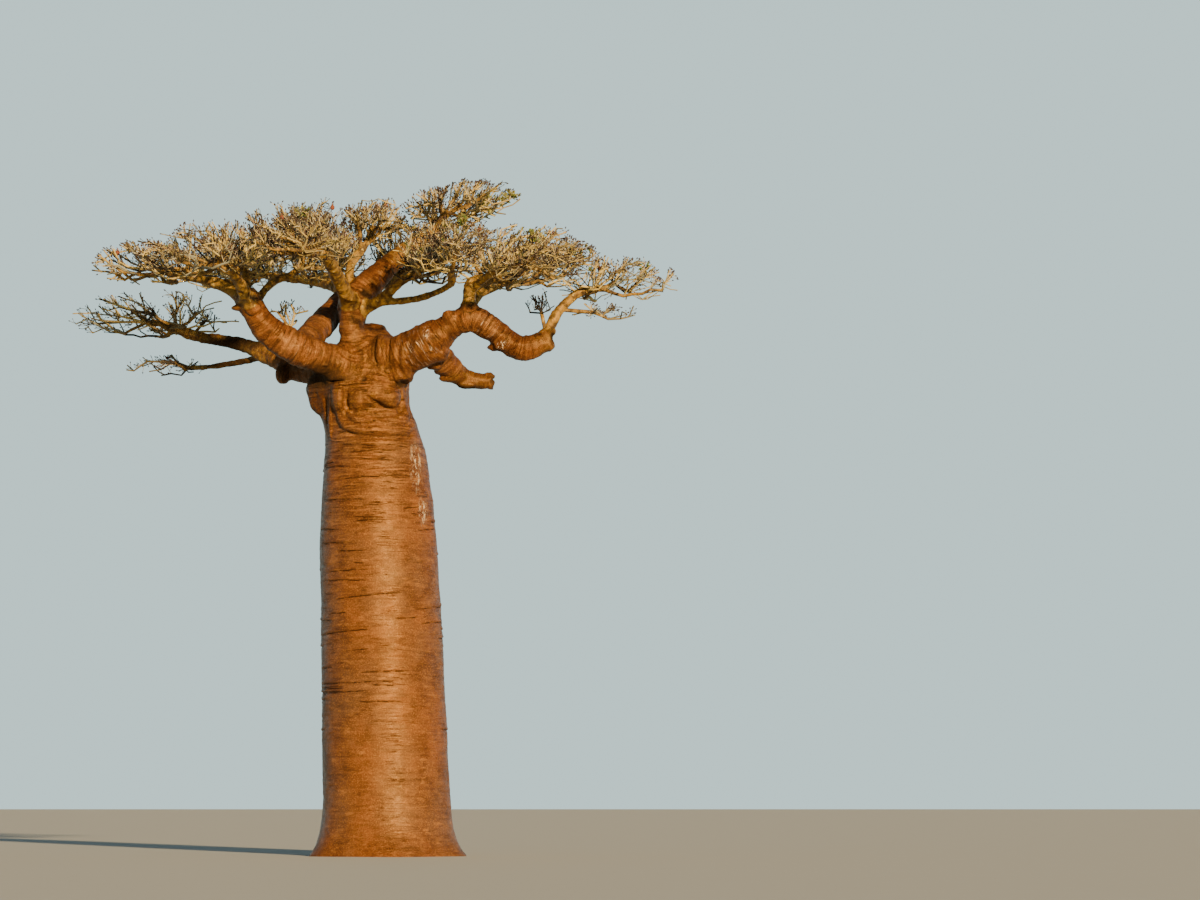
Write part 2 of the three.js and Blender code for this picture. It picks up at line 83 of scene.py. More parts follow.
# Each station is (x, y, z, radius), from a foot sunk in what carries the limb to its tip.
LIMBS = {
    "left_bough": [
        (-0.8, -0.6, 15.55, 0.64), (-1.7, -1.3, 15.7, 0.52), (-2.7, -1.9, 16, 0.54),
        (-3.55, -2.3, 16.45, 0.48), (-4.05, -2.6, 17.05, 0.39), (-4.3, -2.7, 17.5, 0.33),
    ],
    "left_outer_limb": [
        (-4.2, -2.65, 17.3, 0.28), (-4.85, -2.6, 17.85, 0.22), (-5.95, -2.3, 18.25, 0.17),
    ],
    "left_riser": [
        (-4.25, -2.6, 17.3, 0.19), (-4.4, -2.3, 17.95, 0.16), (-4.45, -2, 18.35, 0.15),
    ],
    "left_cross_limb": [
        (-4.1, -2.55, 17.35, 0.13), (-3.65, -1.9, 18.1, 0.115), (-3, -1.3, 18.5, 0.11),
    ],
    "front_left_limb": [
        (-4.25, -2.75, 17.3, 0.22), (-4.45, -3.9, 17.85, 0.18), (-4.7, -4.7, 18.15, 0.15),
    ],
    "inner_bough": [
        (-2.75, -1.5, 16.05, 0.42), (-2.4, -0.4, 16.7, 0.44), (-1.95, 0.8, 17.45, 0.4),
        (-1.35, 2.2, 18.6, 0.3),
    ],
    "back_left_limb": [
        (-1.45, 2, 18.4, 0.21), (-2.4, 3.2, 18.85, 0.18), (-3.7, 4, 19.15, 0.15),
    ],
    "back_centre_limb": [
        (-1.4, 2.1, 18.5, 0.21), (-1.6, 3.3, 18.85, 0.18), (-2, 4.2, 19.1, 0.15),
    ],
    "back_left_bough": [
        (-1.7, 0.5, 15.5, 0.52), (-3, 1.5, 15.8, 0.43), (-4.3, 2.4, 16.45, 0.28),
    ],
    "left_lower_limb": [
        (-4.2, 2.35, 16.4, 0.26), (-5.15, 2.65, 16.75, 0.22), (-6.5, 2.8, 17, 0.17),
    ],
    "left_lowest_limb": [
        (-4.1, 2.35, 16.35, 0.12), (-4.9, 2.9, 16.2, 0.1), (-6.25, 3.4, 16.05, 0.08),
    ],
    "upright_bough": [
        (-1, -0.6, 15.95, 0.42), (-1.15, -0.9, 16.75, 0.38), (-1.1, -0.8, 17.75, 0.4),
    ],
    "upper_right_bough": [
        (-1.08, -0.8, 17.6, 0.44), (-0.6, -0.5, 18.3, 0.44), (0.45, 0, 19.35, 0.29),
        (1.15, 0.05, 19.85, 0.19),
    ],
    "centre_riser": [
        (-1.1, -0.65, 17.65, 0.18), (-1.25, -0.5, 18.35, 0.15), (-1.2, -0.15, 19.05, 0.13),
    ],
    "front_limb": [
        (-1.15, -0.9, 17.5, 0.27), (-1.45, -2.6, 18.15, 0.22), (-1.75, -4.4, 18.65, 0.18),
    ],
    "mid_right_limb": [
        (-0.95, -0.85, 17.3, 0.21), (-0.15, -1.4, 17.7, 0.17), (0.65, -2.3, 18.25, 0.14),
    ],
    "slender_limb": [
        (-0.3, -1.3, 17.58, 0.12), (1.05, -2.1, 17.6, 0.105), (2.15, -3.6, 17.85, 0.09),
    ],
    "right_bough": [
        (-0.4, -0.5, 15.65, 0.76), (0.4, -1, 15.85, 0.7), (1.35, -1.4, 16.33, 0.6),
        (2, -1.5, 16.75, 0.43), (2.65, -1.6, 17.05, 0.42), (3.25, -1.6, 16.78, 0.39),
        (4, -1.4, 16.22, 0.39), (4.55, -1.3, 16.13, 0.38), (5.25, -1.2, 16.45, 0.31),
    ],
    "right_riser": [
        (2.65, -1.6, 16.95, 0.3), (2.65, -1.6, 17.7, 0.2), (2.75, -1.7, 18.15, 0.19),
    ],
    "far_right_riser": [
        (5.05, -1.2, 16.45, 0.19), (5.5, -1.1, 17.35, 0.155), (6.2, -0.8, 18, 0.13),
    ],
    "front_far_right_limb": [
        (2.72, -1.68, 17.95, 0.13), (3.35, -2.6, 18.3, 0.115), (4.05, -3.5, 18.45, 0.1),
    ],
    "broken_stub": [
        (1.45, -0.9, 16.2, 0.38), (1.9, -0.3, 15.7, 0.38), (2.5, 0.1, 15.3, 0.29),
        (3.3, 0.2, 15.2, 0.23),
    ],
    "back_bough": [
        (-0.85, 0.6, 15.9, 0.42), (-1.25, 2, 16.95, 0.35), (-1.1, 3.3, 18.1, 0.28),
        (-0.5, 4.4, 19, 0.2),
    ],
    "back_right_bough": [
        (-0.2, 0.7, 16, 0.48), (0.65, 2.2, 16.6, 0.36), (2.05, 4.6, 17.75, 0.27),
    ],
    "back_right_riser": [
        (1.95, 4.45, 17.68, 0.24), (2.4, 4.9, 18.25, 0.2), (2.85, 5.15, 18.85, 0.16),
    ],
}

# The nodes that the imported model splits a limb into, besides the one of its own name.
SPLIT_NODES = {"right_bough": ["right_bough_outer", "right_bough_end"]}

# Masses of twigs, as in the part's source: the limb that bears each, its centre, half sizes and
# slope, its stem's radius, and the share of its finer twigs that it keeps.
MASS_FACTS = ("on", "centre", "half", "slope", "stem", "kept")
MASS_ROWS = {
    "left_top_outer": ("left_outer_limb", (-7.5, -1.8, 18.6), (1.9, 2.6, 0.9), (0.02, 0), 0.17, 0.48),
    "left_top_inner": ("left_riser", (-4.7, -0.7, 18.85), (2.05, 2.9, 1.5), (0.1, 0), 0.15, 0.64),
    "top_centre_left": ("left_cross_limb", (-2.3, -0.5, 19.2), (1.5, 2.9, 1.9), (0, 0), 0.11, 0.76),
    "front_left": ("front_left_limb", (-5.4, -5.5, 18.35), (2.2, 2.3, 1.2), (0.1, 0.05), 0.15, 0.52),
    "front_centre": ("front_limb", (-2.7, -5.9, 18.7), (1.9, 2.5, 1.4), (0, 0.05), 0.18, 0.76),
    "front_right": ("slender_limb", (2.25, -5.8, 18.45), (1.9, 2.5, 1.2), (0, 0.05), 0.09, 0.6),
    "front_far_right": (
        "front_far_right_limb", (4.95, -4.9, 18.25), (1.9, 2.2, 1.05), (0.05, 0.05), 0.1, 0.56,
    ),
    "top_centre": ("centre_riser", (-0.45, 0.4, 20.15), (1.6, 2.7, 1), (0.05, 0), 0.13, 0.85),
    "top_right": ("upper_right_bough", (2.05, 0.2, 20.7), (2.25, 2.7, 0.95), (0.2, 0), 0.18, 0.76),
    "mid_right_inner": ("mid_right_limb", (1.45, -2.7, 18.45), (1.3, 1.7, 1), (0.05, 0), 0.14, 0.6),
    "right_mid": ("right_riser", (4.15, -0.4, 18.85), (2.4, 2.8, 1.35), (0.12, 0), 0.19, 0.44),
    "far_right": ("far_right_riser", (7.25, -0.3, 18.25), (2.2, 2.5, 0.95), (0, 0), 0.13, 0.36),
    "left_lower": ("left_lower_limb", (-7.9, 2.8, 17.5), (2.9, 2.2, 1.05), (0.02, 0), 0.17, 0.34),
    "left_lowest": ("left_lowest_limb", (-7.6, 3.5, 16), (1.35, 1.1, 0.48), (0, 0), 0.08, 1),
    "back_left": ("back_left_limb", (-5.2, 5.3, 19.45), (2.3, 2.7, 1.3), (0.08, 0), 0.15, 0.54),
    "back_centre": ("back_centre_limb", (-2.5, 5.6, 19.7), (1.9, 2.7, 1.4), (0.03, 0), 0.15, 0.56),
    "back_right": ("back_bough", (0.7, 5.6, 19.85), (2.1, 2.7, 1.4), (0.03, 0), 0.2, 0.56),
    "back_far_right": ("back_right_riser", (4.3, 5.3, 19.5), (2.3, 2.6, 1.15), (0.02, 0), 0.16, 0.46),
    "riser_clump": ("right_bough", (4.9, -1.3, 17.45), (0.52, 0.55, 0.55), (0, 0), 0.06, 1),
    "dead_branch": ("far_right_riser", (7, -0.9, 17.28), (1.15, 0.7, 0.42), (0, 0), 0.065, 1),
    "back_clump": ("back_left_bough", (-3.45, 3, 17.6), (0.75, 0.9, 0.6), (0, 0), 0.07, 1),
}

# Masses with few twigs, and where a stem stands that leaves the side of its limb and not the tip
SPARSE_MASSES = ("left_lowest", "riser_clump", "dead_branch", "back_clump")
STEM_FEET = {
    "riser_clump": (5.08, -1.23, 16.6),
    "dead_branch": (5.55, -1.08, 17.38),
    "back_clump": (-3.4, 1.8, 16.15),
}
MASSES = {name: dict(zip(MASS_FACTS, row)) for name, row in MASS_ROWS.items()}
for seed, (name, mass) in enumerate(MASSES.items(), start=1):
    mass["seed"] = seed
    mass["sparse"] = name in SPARSE_MASSES
    if name in STEM_FEET:
        mass["foot"] = STEM_FEET[name]

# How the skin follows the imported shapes: the steps over which the trunk's stations are eased, how
# fast it closes over the top station, its distance's slack, and a limb's end in its mass's stem.
EASE_STEPS = (-0.3, -0.15, 0, 0.15, 0.3)
TOP_TAPER = 3
SHAFT_SLACK = 0.9
STEM_SKIN = 0.86

# The growth rule, as in the part's source
BOWL_SHARE = 0.45
RIM_TWIGS = 27
INNER_TWIGS = 32
SPARSE_SHARE = 0.4
RIM_REACH = 0.97
GOLDEN_ANGLE = math.pi * (3 - math.sqrt(5))
SPREAD = np.array([0.8191725134, 0.6710436067, 0.5497004779])
SEED_STEP = np.array([0.3579, 0.1234, 0.7531])
TRIES_EACH = 3
SPARE_TRIES = 30
PATH_WEIGHT = 0.45
RISE_COST = 0.75
FALL_COST = 1.3
SUNK = 0.6
TIP_STEM = 0.45
SIDE_STEM = 0.75
LEAST_RADIUS = 0.024
BORDER = 0.05
LIMB_CLEARANCE = 0.04
TWIG_CHECKS = 4
RINGS_EACH = 2
MOST_POINTS = 6000

# Finer twigs: how many grow in a cubic metre, how they are set out, and how thin they get.
FINE_DENSITY = 96
FINE_UNDER = 0.2
FINE_SCATTER = 0.12
FINE_HEART = 0.3
FINE_PATH_WEIGHT = 0.5
FINE_TAPER_POWER = 2.3
FINE_TURN_WEIGHT = 0.7
FINE_BORDER = 0.01
FINE_CLEARANCE = 0.02
FINE_REACH = 0.97
REACH_LEAST = 0.5
REACH_CONTRAST = 1.9
REACH_SCALE = 2.3
SPRIG_BEYOND = 0.14
FINE_RADIUS = 0.0135
STEP_LENGTH = 0.3
STEP_SWAY = 0.1

# Sprigs: the last short twigs, knee by knee, on every thin twig.
SPRIGS_EACH = 9
SPRIG_LENGTHS = (0.06, 0.16)
SPRIG_FEET = 0.75
SPRIG_RISE = 0.15
SPRIG_RADII = (0.0115, 0.0095, 0.0075)
SPRIG_ONWARD = 0.55
SPRIG_OUTWARD = 0.6
SPRIG_UPWARD = 0.3
SPRIG_SCATTER = 0.45
SPRIG_BEND = 0.3
UNDER_SPRIGS = 0.16
SPRIG_BORDER = 0.004
SPRIG_MOST_RADIUS = 0.06
SPRIG_SHARE = 0.95
SPRIG_SIDES = 3

# The bark's skin: size of its faces, how softly limbs join, and the steps that settle it.
VOXEL = 0.05
SKIN_STEPS = 5
LINE_STEPS = 4
JOIN_SHARE = 0.8
JOIN_MOST = 0.45
FIRST_EASING = 2
SETTLE_ROUNDS = 2
SETTLE_MOST = 0.08
SLOPE_STEP = 0.004
LEAST_SLOPE = 0.3
FORM_MARGIN = 0.25
BELOW_GROUND = 0.3
TRUNK_RING_STEP = 0.15
TRUNK_SIDES = 72
LIMB_SIDES = 16
KNOB_DETAIL = 2

# The skin is kept in pieces: the level that parts the foot from the shaft, and the x that parts
# the boughs of the left from those of the right.
FOOT_TOP = 7.5
LEFT_EDGE = -0.9

# Knobs on the head and the boughs: centre, half sizes, and how softly each joins.
KNOBS = [
    ((-0.42, -1.16, 14.63), (0.84, 0.62, 0.5), 0.05),
    ((-0.84, -1.16, 14.46), (0.44, 0.58, 0.44), 0.07),
    ((-0.04, -1.16, 14.54), (0.5, 0.62, 0.42), 0.07),
    ((-1.52, -1.12, 14.62), (0.25, 0.44, 0.62), 0.07),
    ((-2.16, -0.1, 14.55), (0.38, 0.42, 0.44), 0.12),
    ((-1.15, -1.25, 15.22), (0.34, 0.3, 0.2), 0.1),
    ((-0.72, -0.5, 16.5), (0.34, 0.36, 0.3), 0.12),
    ((-0.2, -1.1, 16.05), (0.3, 0.5, 0.55), 0.15),
    ((0.5, -1.1, 15.22), (0.36, 0.42, 0.3), 0.16),
    ((-4.3, -2.7, 17.5), (0.4, 0.4, 0.34), 0.1),
    ((-4.05, -3.0, 17.2), (0.2, 0.16, 0.2), 0.06),
    ((-3.52, 1.4, 15.6), (0.26, 0.28, 0.34), 0.2),
    ((-1.11, -0.82, 17.72), (0.45, 0.45, 0.18), 0.08),
    ((1.33, -1.35, 16.0), (0.42, 0.4, 0.42), 0.2),
    ((1.73, -1.3, 16.0), (0.27, 0.42, 0.36), 0.04),
    ((1.52, -0.75, 15.72), (0.3, 0.34, 0.28), 0.08),
    ((1.78, -0.6, 15.98), (0.34, 0.34, 0.26), 0.08),
    ((1.72, -0.35, 15.5), (0.24, 0.3, 0.14), 0.06),
    ((2.14, -1.88, 16.98), (0.2, 0.12, 0.22), 0.05),
    ((2.44, -1.9, 16.9), (0.16, 0.12, 0.2), 0.05),
    ((2.68, -1.86, 17.02), (0.2, 0.16, 0.26), 0.06),
    ((3.42, -1.42, 16.12), (0.24, 0.16, 0.12), 0.1),
    ((3.7, -1.72, 16.16), (0.24, 0.1, 0.17), 0.06),
    ((2.02, -1.83, 17.04), (0.24, 0.14, 0.24), 0.04),
    ((3.02, -1.95, 17.0), (0.05, 0.1, 0.25), 0.04),
    ((5.22, -1.3, 16.2), (0.15, 0.2, 0.13), 0.08),
    ((5.3, -1.3, 16.64), (0.12, 0.2, 0.12), 0.08),
    ((1.95, -0.15, 15.28), (0.34, 0.2, 0.14), 0.08),
    ((2.55, 0.0, 15.08), (0.3, 0.2, 0.12), 0.08),
    ((3.22, 0.2, 15.4), (0.14, 0.16, 0.1), 0.05),
    ((-4.62, -2.75, 17.22), (0.2, 0.14, 0.1), 0.06),
    ((-0.86, -1.0, 18.0), (0.16, 0.3, 0.14), 0.06),
    ((-0.35, -0.85, 18.42), (0.12, 0.12, 0.1), 0.05),
    ((0.02, -0.55, 18.85), (0.13, 0.14, 0.12), 0.05),
    ((-0.75, -0.9, 18.35), (0.1, 0.1, 0.09), 0.05),
    ((5.14, -1.25, 16.28), (0.2, 0.26, 0.2), 0.1),
    ((-3.05, -2.35, 15.95), (0.3, 0.2, 0.28), 0.2),
    ((-1.0, -1.35, 15.62), (0.22, 0.14, 0.12), 0.05),
    ((-0.75, -1.42, 15.42), (0.26, 0.14, 0.1), 0.05),
]

# Rolls of bark on the front of the head, and grooves beside them, over the trunk's surface:
# (angle in degrees, height, thickness).
ROLLS = [
    [(233, 14.2, 0.07), (236, 13.8, 0.14), (246, 13.56, 0.17), (262, 13.48, 0.18), (280, 13.46, 0.18),
     (298, 13.45, 0.17), (316, 13.48, 0.14), (330, 13.62, 0.08)],
    [(246, 14.08, 0.07), (252, 13.86, 0.12), (265, 13.78, 0.13), (281, 13.74, 0.13), (298, 13.7, 0.13),
     (315, 13.8, 0.11), (331, 14.02, 0.07)],
    [(228, 14.6, 0.08), (221, 14.2, 0.11), (215, 13.75, 0.11), (213, 13.3, 0.05)],
    [(322, 14.9, 0.09), (326, 14.4, 0.15), (322, 13.98, 0.16), (312, 13.92, 0.1)],
    [(262, 15.9, 0.07), (268, 15.6, 0.09), (280, 15.4, 0.08), (296, 15.38, 0.06)],
]
GROOVES = [
    [(258, 13.98, 0.05), (272, 13.93, 0.055), (290, 13.92, 0.055), (308, 13.98, 0.05),
     (320, 14.2, 0.04)],
    [(238, 13.6, 0.05), (247, 13.34, 0.07), (262, 13.26, 0.06), (280, 13.25, 0.055), (298, 13.25, 0.06),
     (316, 13.28, 0.06), (326, 13.4, 0.04)],
    [(252, 13.68, 0.04), (266, 13.62, 0.05), (282, 13.59, 0.05), (299, 13.57, 0.045),
     (314, 13.62, 0.04)],
    [(214, 14.5, 0.05), (208, 14.15, 0.07), (206, 13.8, 0.05)],
    [(286, 15.9, 0.05), (290, 15.6, 0.06), (298, 15.35, 0.06), (310, 15.15, 0.05)],
]

# Ridges and grooves where boughs leave the head, as the viewer sees them: (x, height, thickness).
RIDGES = [
    [(-0.2, 16.4, 0.05), (-0.2, 16.1, 0.07), (-0.17, 15.78, 0.07), (-0.06, 15.45, 0.05)],
    [(-0.04, 16.38, 0.05), (-0.04, 16.05, 0.06), (-0.01, 15.68, 0.06), (0.1, 15.36, 0.04)],
    [(0.32, 16.3, 0.03), (0.27, 15.98, 0.045), (0.31, 15.53, 0.045), (0.44, 15.12, 0.03)],
    [(0.6, 16.25, 0.03), (0.53, 15.97, 0.04), (0.57, 15.52, 0.04), (0.7, 15.14, 0.03)],
    [(0.98, 16.3, 0.03), (0.92, 16, 0.045), (0.98, 15.6, 0.04), (1.12, 15.3, 0.03)],
    [(-1.46, 16.12, 0.05), (-1.27, 15.94, 0.07), (-1.01, 15.84, 0.07), (-0.69, 15.86, 0.05)],
    [(-1.09, 16.05, 0.05), (-0.77, 16.24, 0.06), (-0.4, 16.4, 0.04)],
    [(-1.0, 15.9, 0.04), (-0.7, 16.06, 0.05), (-0.42, 16.22, 0.04)],
    [(-1.02, 15.52, 0.05), (-0.86, 15.6, 0.06), (-0.7, 15.5, 0.06), (-0.72, 15.32, 0.05),
     (-0.92, 15.26, 0.05)],
    [(-1.16, 14.95, 0.05), (-0.9, 14.99, 0.06), (-0.62, 14.96, 0.05), (-0.4, 15.02, 0.04)],
    [(-1.42, 14.95, 0.07), (-1.47, 14.6, 0.1), (-1.46, 14.25, 0.1), (-1.36, 13.98, 0.08)],
    [(-1.42, 17.72, 0.04), (-1.22, 17.64, 0.07), (-0.96, 17.63, 0.07), (-0.72, 17.73, 0.06),
     (-0.6, 17.86, 0.04)],
    [(-4.52, 17.34, 0.05), (-4.36, 17.5, 0.08), (-4.2, 17.36, 0.06)],
    [(-4.3, 17.1, 0.05), (-4.12, 17.02, 0.07), (-3.92, 17.12, 0.05)],
    [(1.92, 16.42, 0.05), (1.99, 16.38, 0.06)],
    [(1.38, 15.97, 0.05), (1.46, 15.95, 0.06)],
    [(0.1, 18.76, 0.06), (0.19, 18.78, 0.06)],
    [(-0.35, 18.27, 0.06), (-0.26, 18.3, 0.06)],
    [(-3.3, 16.5, 0.04), (-3.22, 16.52, 0.06)],
    [(-1.95, 15.5, 0.04), (-1.86, 15.48, 0.06)],
]
SEAMS = [
    [(-0.35, 16.45, 0.05), (-0.37, 16.2, 0.07), (-0.38, 15.88, 0.06), (-0.31, 15.6, 0.045)],
    [(0.11, 16.35, 0.04), (0.08, 16, 0.055), (0.08, 15.55, 0.05), (0.19, 15.14, 0.05),
     (0.37, 14.9, 0.05)],
    [(0.44, 16.2, 0.02), (0.4, 15.9, 0.03), (0.44, 15.5, 0.03), (0.58, 15.15, 0.02)],
    [(0.78, 16.3, 0.02), (0.72, 15.98, 0.03), (0.77, 15.55, 0.03), (0.9, 15.2, 0.02)],
    [(-1.45, 15.95, 0.04), (-1.2, 15.76, 0.05), (-0.92, 15.7, 0.04)],
    [(-0.9, 15.44, 0.05), (-0.84, 15.4, 0.05)],
    [(-1.15, 14.86, 0.05), (-0.88, 14.9, 0.055), (-0.62, 14.87, 0.05), (-0.45, 14.93, 0.03)],
    [(-0.78, 15.07, 0.07), (-0.68, 15.08, 0.07)],
    [(-0.74, 17.9, 0.08), (-0.65, 17.93, 0.08)],
    [(-4.44, 17.56, 0.05), (-4.3, 17.46, 0.07)],
    [(0.4, 19, 0.05), (0.5, 19.02, 0.06)],
    [(-0.62, 18.12, 0.05), (-0.5, 18.16, 0.06)],
    [(-0.58, 14.5, 0.04), (-0.34, 14.33, 0.08), (-0.06, 14.2, 0.09), (0.14, 14.18, 0.05)],
    [(-1.19, 14.86, 0.05), (-1.26, 14.62, 0.07), (-1.28, 14.34, 0.08), (-1.18, 14.1, 0.07),
     (-0.98, 14.0, 0.05)],
]

# How far each kind of line is sunk, as a share of its thickness, and how softly it joins
RIDGE_SUNK = 0.25
ROLL_SUNK = 0.3
GROOVE_SUNK = 0.25
ROLL_JOIN = 0.04

# Lines seen from the front: the y that they start from, the steps in which they close in on the
# skin, the share of the way in each step, and the gap within which they have come to it
FRONT_START = -4
FRONT_STEPS = 40
FRONT_PACE = 0.8
FRONT_GAP = 0.05

# Hollows of the head and of the right bough's end: centre and half sizes of what is taken away.
HOLLOWS = [
    ((-0.16, -1.82, 14.26), (0.2, 0.24, 0.09)),
    ((0.06, -1.82, 14.18), (0.2, 0.24, 0.08)),
    ((0.6, -1.3, 14.98), (0.22, 0.4, 0.09)),
    ((-1.35, -1.3, 15.05), (0.5, 0.16, 0.09)),
    ((5.42, -1.3, 16.43), (0.12, 0.3, 0.09)),
]
HOLLOW_EDGE = 0.05

# Areas of the bark, each from its centre and half sizes: redder and darker, partly as real tone and
# partly as painted shade; near-black painted shade where shadows fall; with runs of pale sap, with thin
# pale arcs, and the whole head.
BARK_AREAS = {
    "ruddy_and_painted_shade": [
        ((0.9, -1.6, 15.9), (1.15, 1.3, 1.0)), ((1.85, -1.7, 16.7), (0.7, 0.8, 0.6)),
        # This row's two areas are painted shade, on the head's left knob and on the back left bough's
        # root; the other rows are redder bark.
        ((-2.0, -0.5, 14.6), (0.75, 1.2, 1.0)), ((-2.6, 1.2, 15.6), (1.2, 1.2, 0.6)),
        ((-0.1, -0.5, 18.8), (1.2, 0.9, 1.1)), ((-3.75, -2.4, 16.95), (0.7, 0.7, 0.5)),
        ((3.9, -1.5, 16.4), (1.7, 0.9, 0.75)), ((2.6, 0, 15.3), (1.1, 0.6, 0.5)),
    ],
    # Painted shade: near-black laid where shadows fall under the left bough, in hollows and joins, and
    # on the shaded lower left limbs.
    "painted_black_shade": [
        ((-2.05, -0.6, 15.24), (1.1, 2.4, 0.62)), ((-3.6, 0.6, 15.7), (0.7, 1.2, 0.5)),
        ((-1.8, 0.6, 17.1), (0.36, 0.9, 0.8)), ((-5.3, 3, 16.15), (1.7, 1, 0.25)),
        ((-5.3, 2.65, 16.72), (1.8, 1, 0.4)), ((-4.25, -2.75, 17.4), (0.5, 0.55, 0.45)),
        ((2.65, -1.7, 17.4), (0.42, 0.5, 0.2)), ((-0.72, -1.0, 17.88), (0.3, 0.5, 0.26)),
        ((-1.3, -1.1, 17.75), (0.25, 0.45, 0.16)), ((3.34, 0.2, 15.25), (0.12, 0.35, 0.32)),
        ((2.4, 0, 15), (0.8, 0.35, 0.13)), ((5.3, -1.4, 16.45), (0.14, 0.4, 0.4)),
        ((-0.2, -1.85, 14.28), (0.42, 0.4, 0.16)), ((-0.71, -1.6, 15.06), (0.12, 0.3, 0.09)),
        ((-1.5, -1.2, 15.15), (0.8, 0.7, 0.22)), ((0.5, -1.2, 14.98), (0.3, 0.5, 0.14)),
    ],
    "sap": [
        ((0.98, -1.1, 12.5), (0.26, 0.6, 1.15)), ((1.2, -1.0, 10.9), (0.22, 0.5, 0.6)),
        ((1.3, -1.8, 16.5), (0.14, 0.8, 0.3)), ((3.68, -1.8, 16.15), (0.26, 0.4, 0.17)),
    ],
    "arced": [
        ((1.05, -1.7, 16.1), (0.85, 1.0, 0.8)), ((-2.65, -2.0, 15.9), (0.35, 0.8, 0.6)),
        ((3.2, -1.8, 16.7), (0.8, 0.6, 0.5)),
    ],
    "head": [((-0.6, -0.6, 15.0), (2.4, 2.6, 2.6))],
}

# How steeply an area's share falls off towards its edge
AREA_EDGE = 1.6

# How far a limb's bark may turn to ochre where it is slender, if not all the way, the radius under
# which it begins to, and over how much radius it does.
OCHRE_MOST = {"broken_stub": 0.15, "left_lower_limb": 0.6, "left_lowest_limb": 0.5}
SLENDER_RADIUS = 0.38
SLENDER_FADE = 0.16

# The heights between which the trunk's bark turns from smooth to ringed.
SMOOTH_LEVELS = (9.5, 12)

# How many rounds of smoothing ease the place of the rings where limbs meet.
RING_EASING = 8

# Limbs that end broken off, with how far the break stands beyond the last station. Then how
# ragged it is, and the scale and seed of the noise that makes it so.
BREAKS = {"broken_stub": 0.06, "right_bough": -0.04}
BREAK_ROUGH = 0.16
BREAK_NOISE = (7, 41)

# Strong creases of the trunk that the photo shows: from and to angle in degrees, height at each.
CREASES = [
    (196, 242, 12.36, 12.3), (254, 320, 12.09, 12.2), (219, 319, 11.88, 12.07),
    (205, 263, 11.28, 11.24), (246, 280, 10.69, 10.66), (250, 276, 10.54, 10.63),
    (300, 323, 10.96, 11.05), (333, 362, 10.58, 10.64), (188, 233, 10.38, 10.29),
    (316, 352, 10.28, 10.4), (198, 248, 9.92, 9.86), (227, 260, 9.62, 9.63), (246, 259, 9.23, 9.22),
    (214, 273, 8.98, 9.03), (206, 264, 8.7, 8.68), (224, 297, 8.07, 8.31), (218, 240, 7.67, 7.65),
    (285, 311, 7.44, 7.53), (312, 362, 7.33, 7.45), (196, 265, 6.98, 7.12), (222, 279, 13.05, 12.95),
    (236, 302, 12.76, 12.84), (240, 296, 12.58, 12.5), (196, 222, 5.9, 5.95), (186, 290, 5.4, 5.5),
    (184, 236, 5.3, 5.28), (262, 285, 5.36, 5.35), (190, 262, 5.1, 5.2), (246, 292, 4.85, 4.84),
    (250, 300, 5.75, 5.83), (236, 262, 6.42, 6.5), (196, 222, 12.44, 12.5),
]

# Their depth, the half heights of the crease and of the lip over it, the lip's share of the depth,
# how they fade at their ends, and how far over and under each the bark is looked at
CREASE_DEPTH = 0.04
CREASE_BAND = 0.022
CREASE_FADE = 1.6
CREASE_FADE_POWER = 0.7
CREASE_REACH = 0.3
LIP_BAND = 0.05
LIP_SHARE = 0.75

# Seeded creases: weak ones all round, then strong ones at the back. For each set the number, the
# angles of the middle, half widths in degrees, share of the top height, how much they gather low
# down, how far they lean, and their depths where they aren't as deep as the photo's.
CREASE_TOP = 13.3
CREASE_SEED = 11
CREASE_SETS = [
    (420, (0, 360), (4, 20), (0.02, 1), 0.8, 0.045, (0.003, 0.013)),
    (22, (-20, 200), (18, 45), (0.25, 1), 1, 0.05, None),
]

# The bark's relief. Each noise has a scale and a seed, and a height in metres before them where
# several are laid over each other.
CREASE_WAVES = [(0.02, 2.2, 5), (0.008, 7, 6)]
BROAD_WAVES = [(0.035, (0.7, 0.7, 0.5), 1), (0.014, (2.1, 2.1, 1.6), 2)]
BANDS = ((0.9, 0.9, 7.5), 3)
LUMPS = (3.1, 9)
GRAIN = (8.5, 10)
RINGS = (1, 7)
RINGS_ALONG = 5
RINGS_ACROSS = 0.7
BAND_HEIGHT = 0.006
BAND_FURROW = 0.1
BAND_FURROW_DEPTH = 0.007
HEAD_LUMP = 0.045
HEAD_GRAIN = 0.018
RING_HEIGHT = 0.018
RING_FURROW = 0.07
RING_FURROW_DEPTH = 0.014
LIMB_LUMP = 0.012
SLIM_LUMP = 0.02
SLIM_GRAIN = 0.02

# How dark the painted shade in the shaft's grooves is, and in the head's pits where the grain is low.
SHAFT_GROOVE_SHADE = 0.5
PIT_SHADE_CONTRAST = 1.6
PIT_SHADE_LEVEL = 0.25

# Where the shaft's bark ends and the head's begins, and how thick limbs are for each relief.
SHAFT_TOP = 13.7
HEAD_FOOT = 13.2
HEAD_FADE = 0.5
HEAD_THICK = 0.4
RING_THICK = 0.45
LEAST_RELIEF = 0.15
SLIM_THICK = 0.4
SLIM_FADE = 0.2

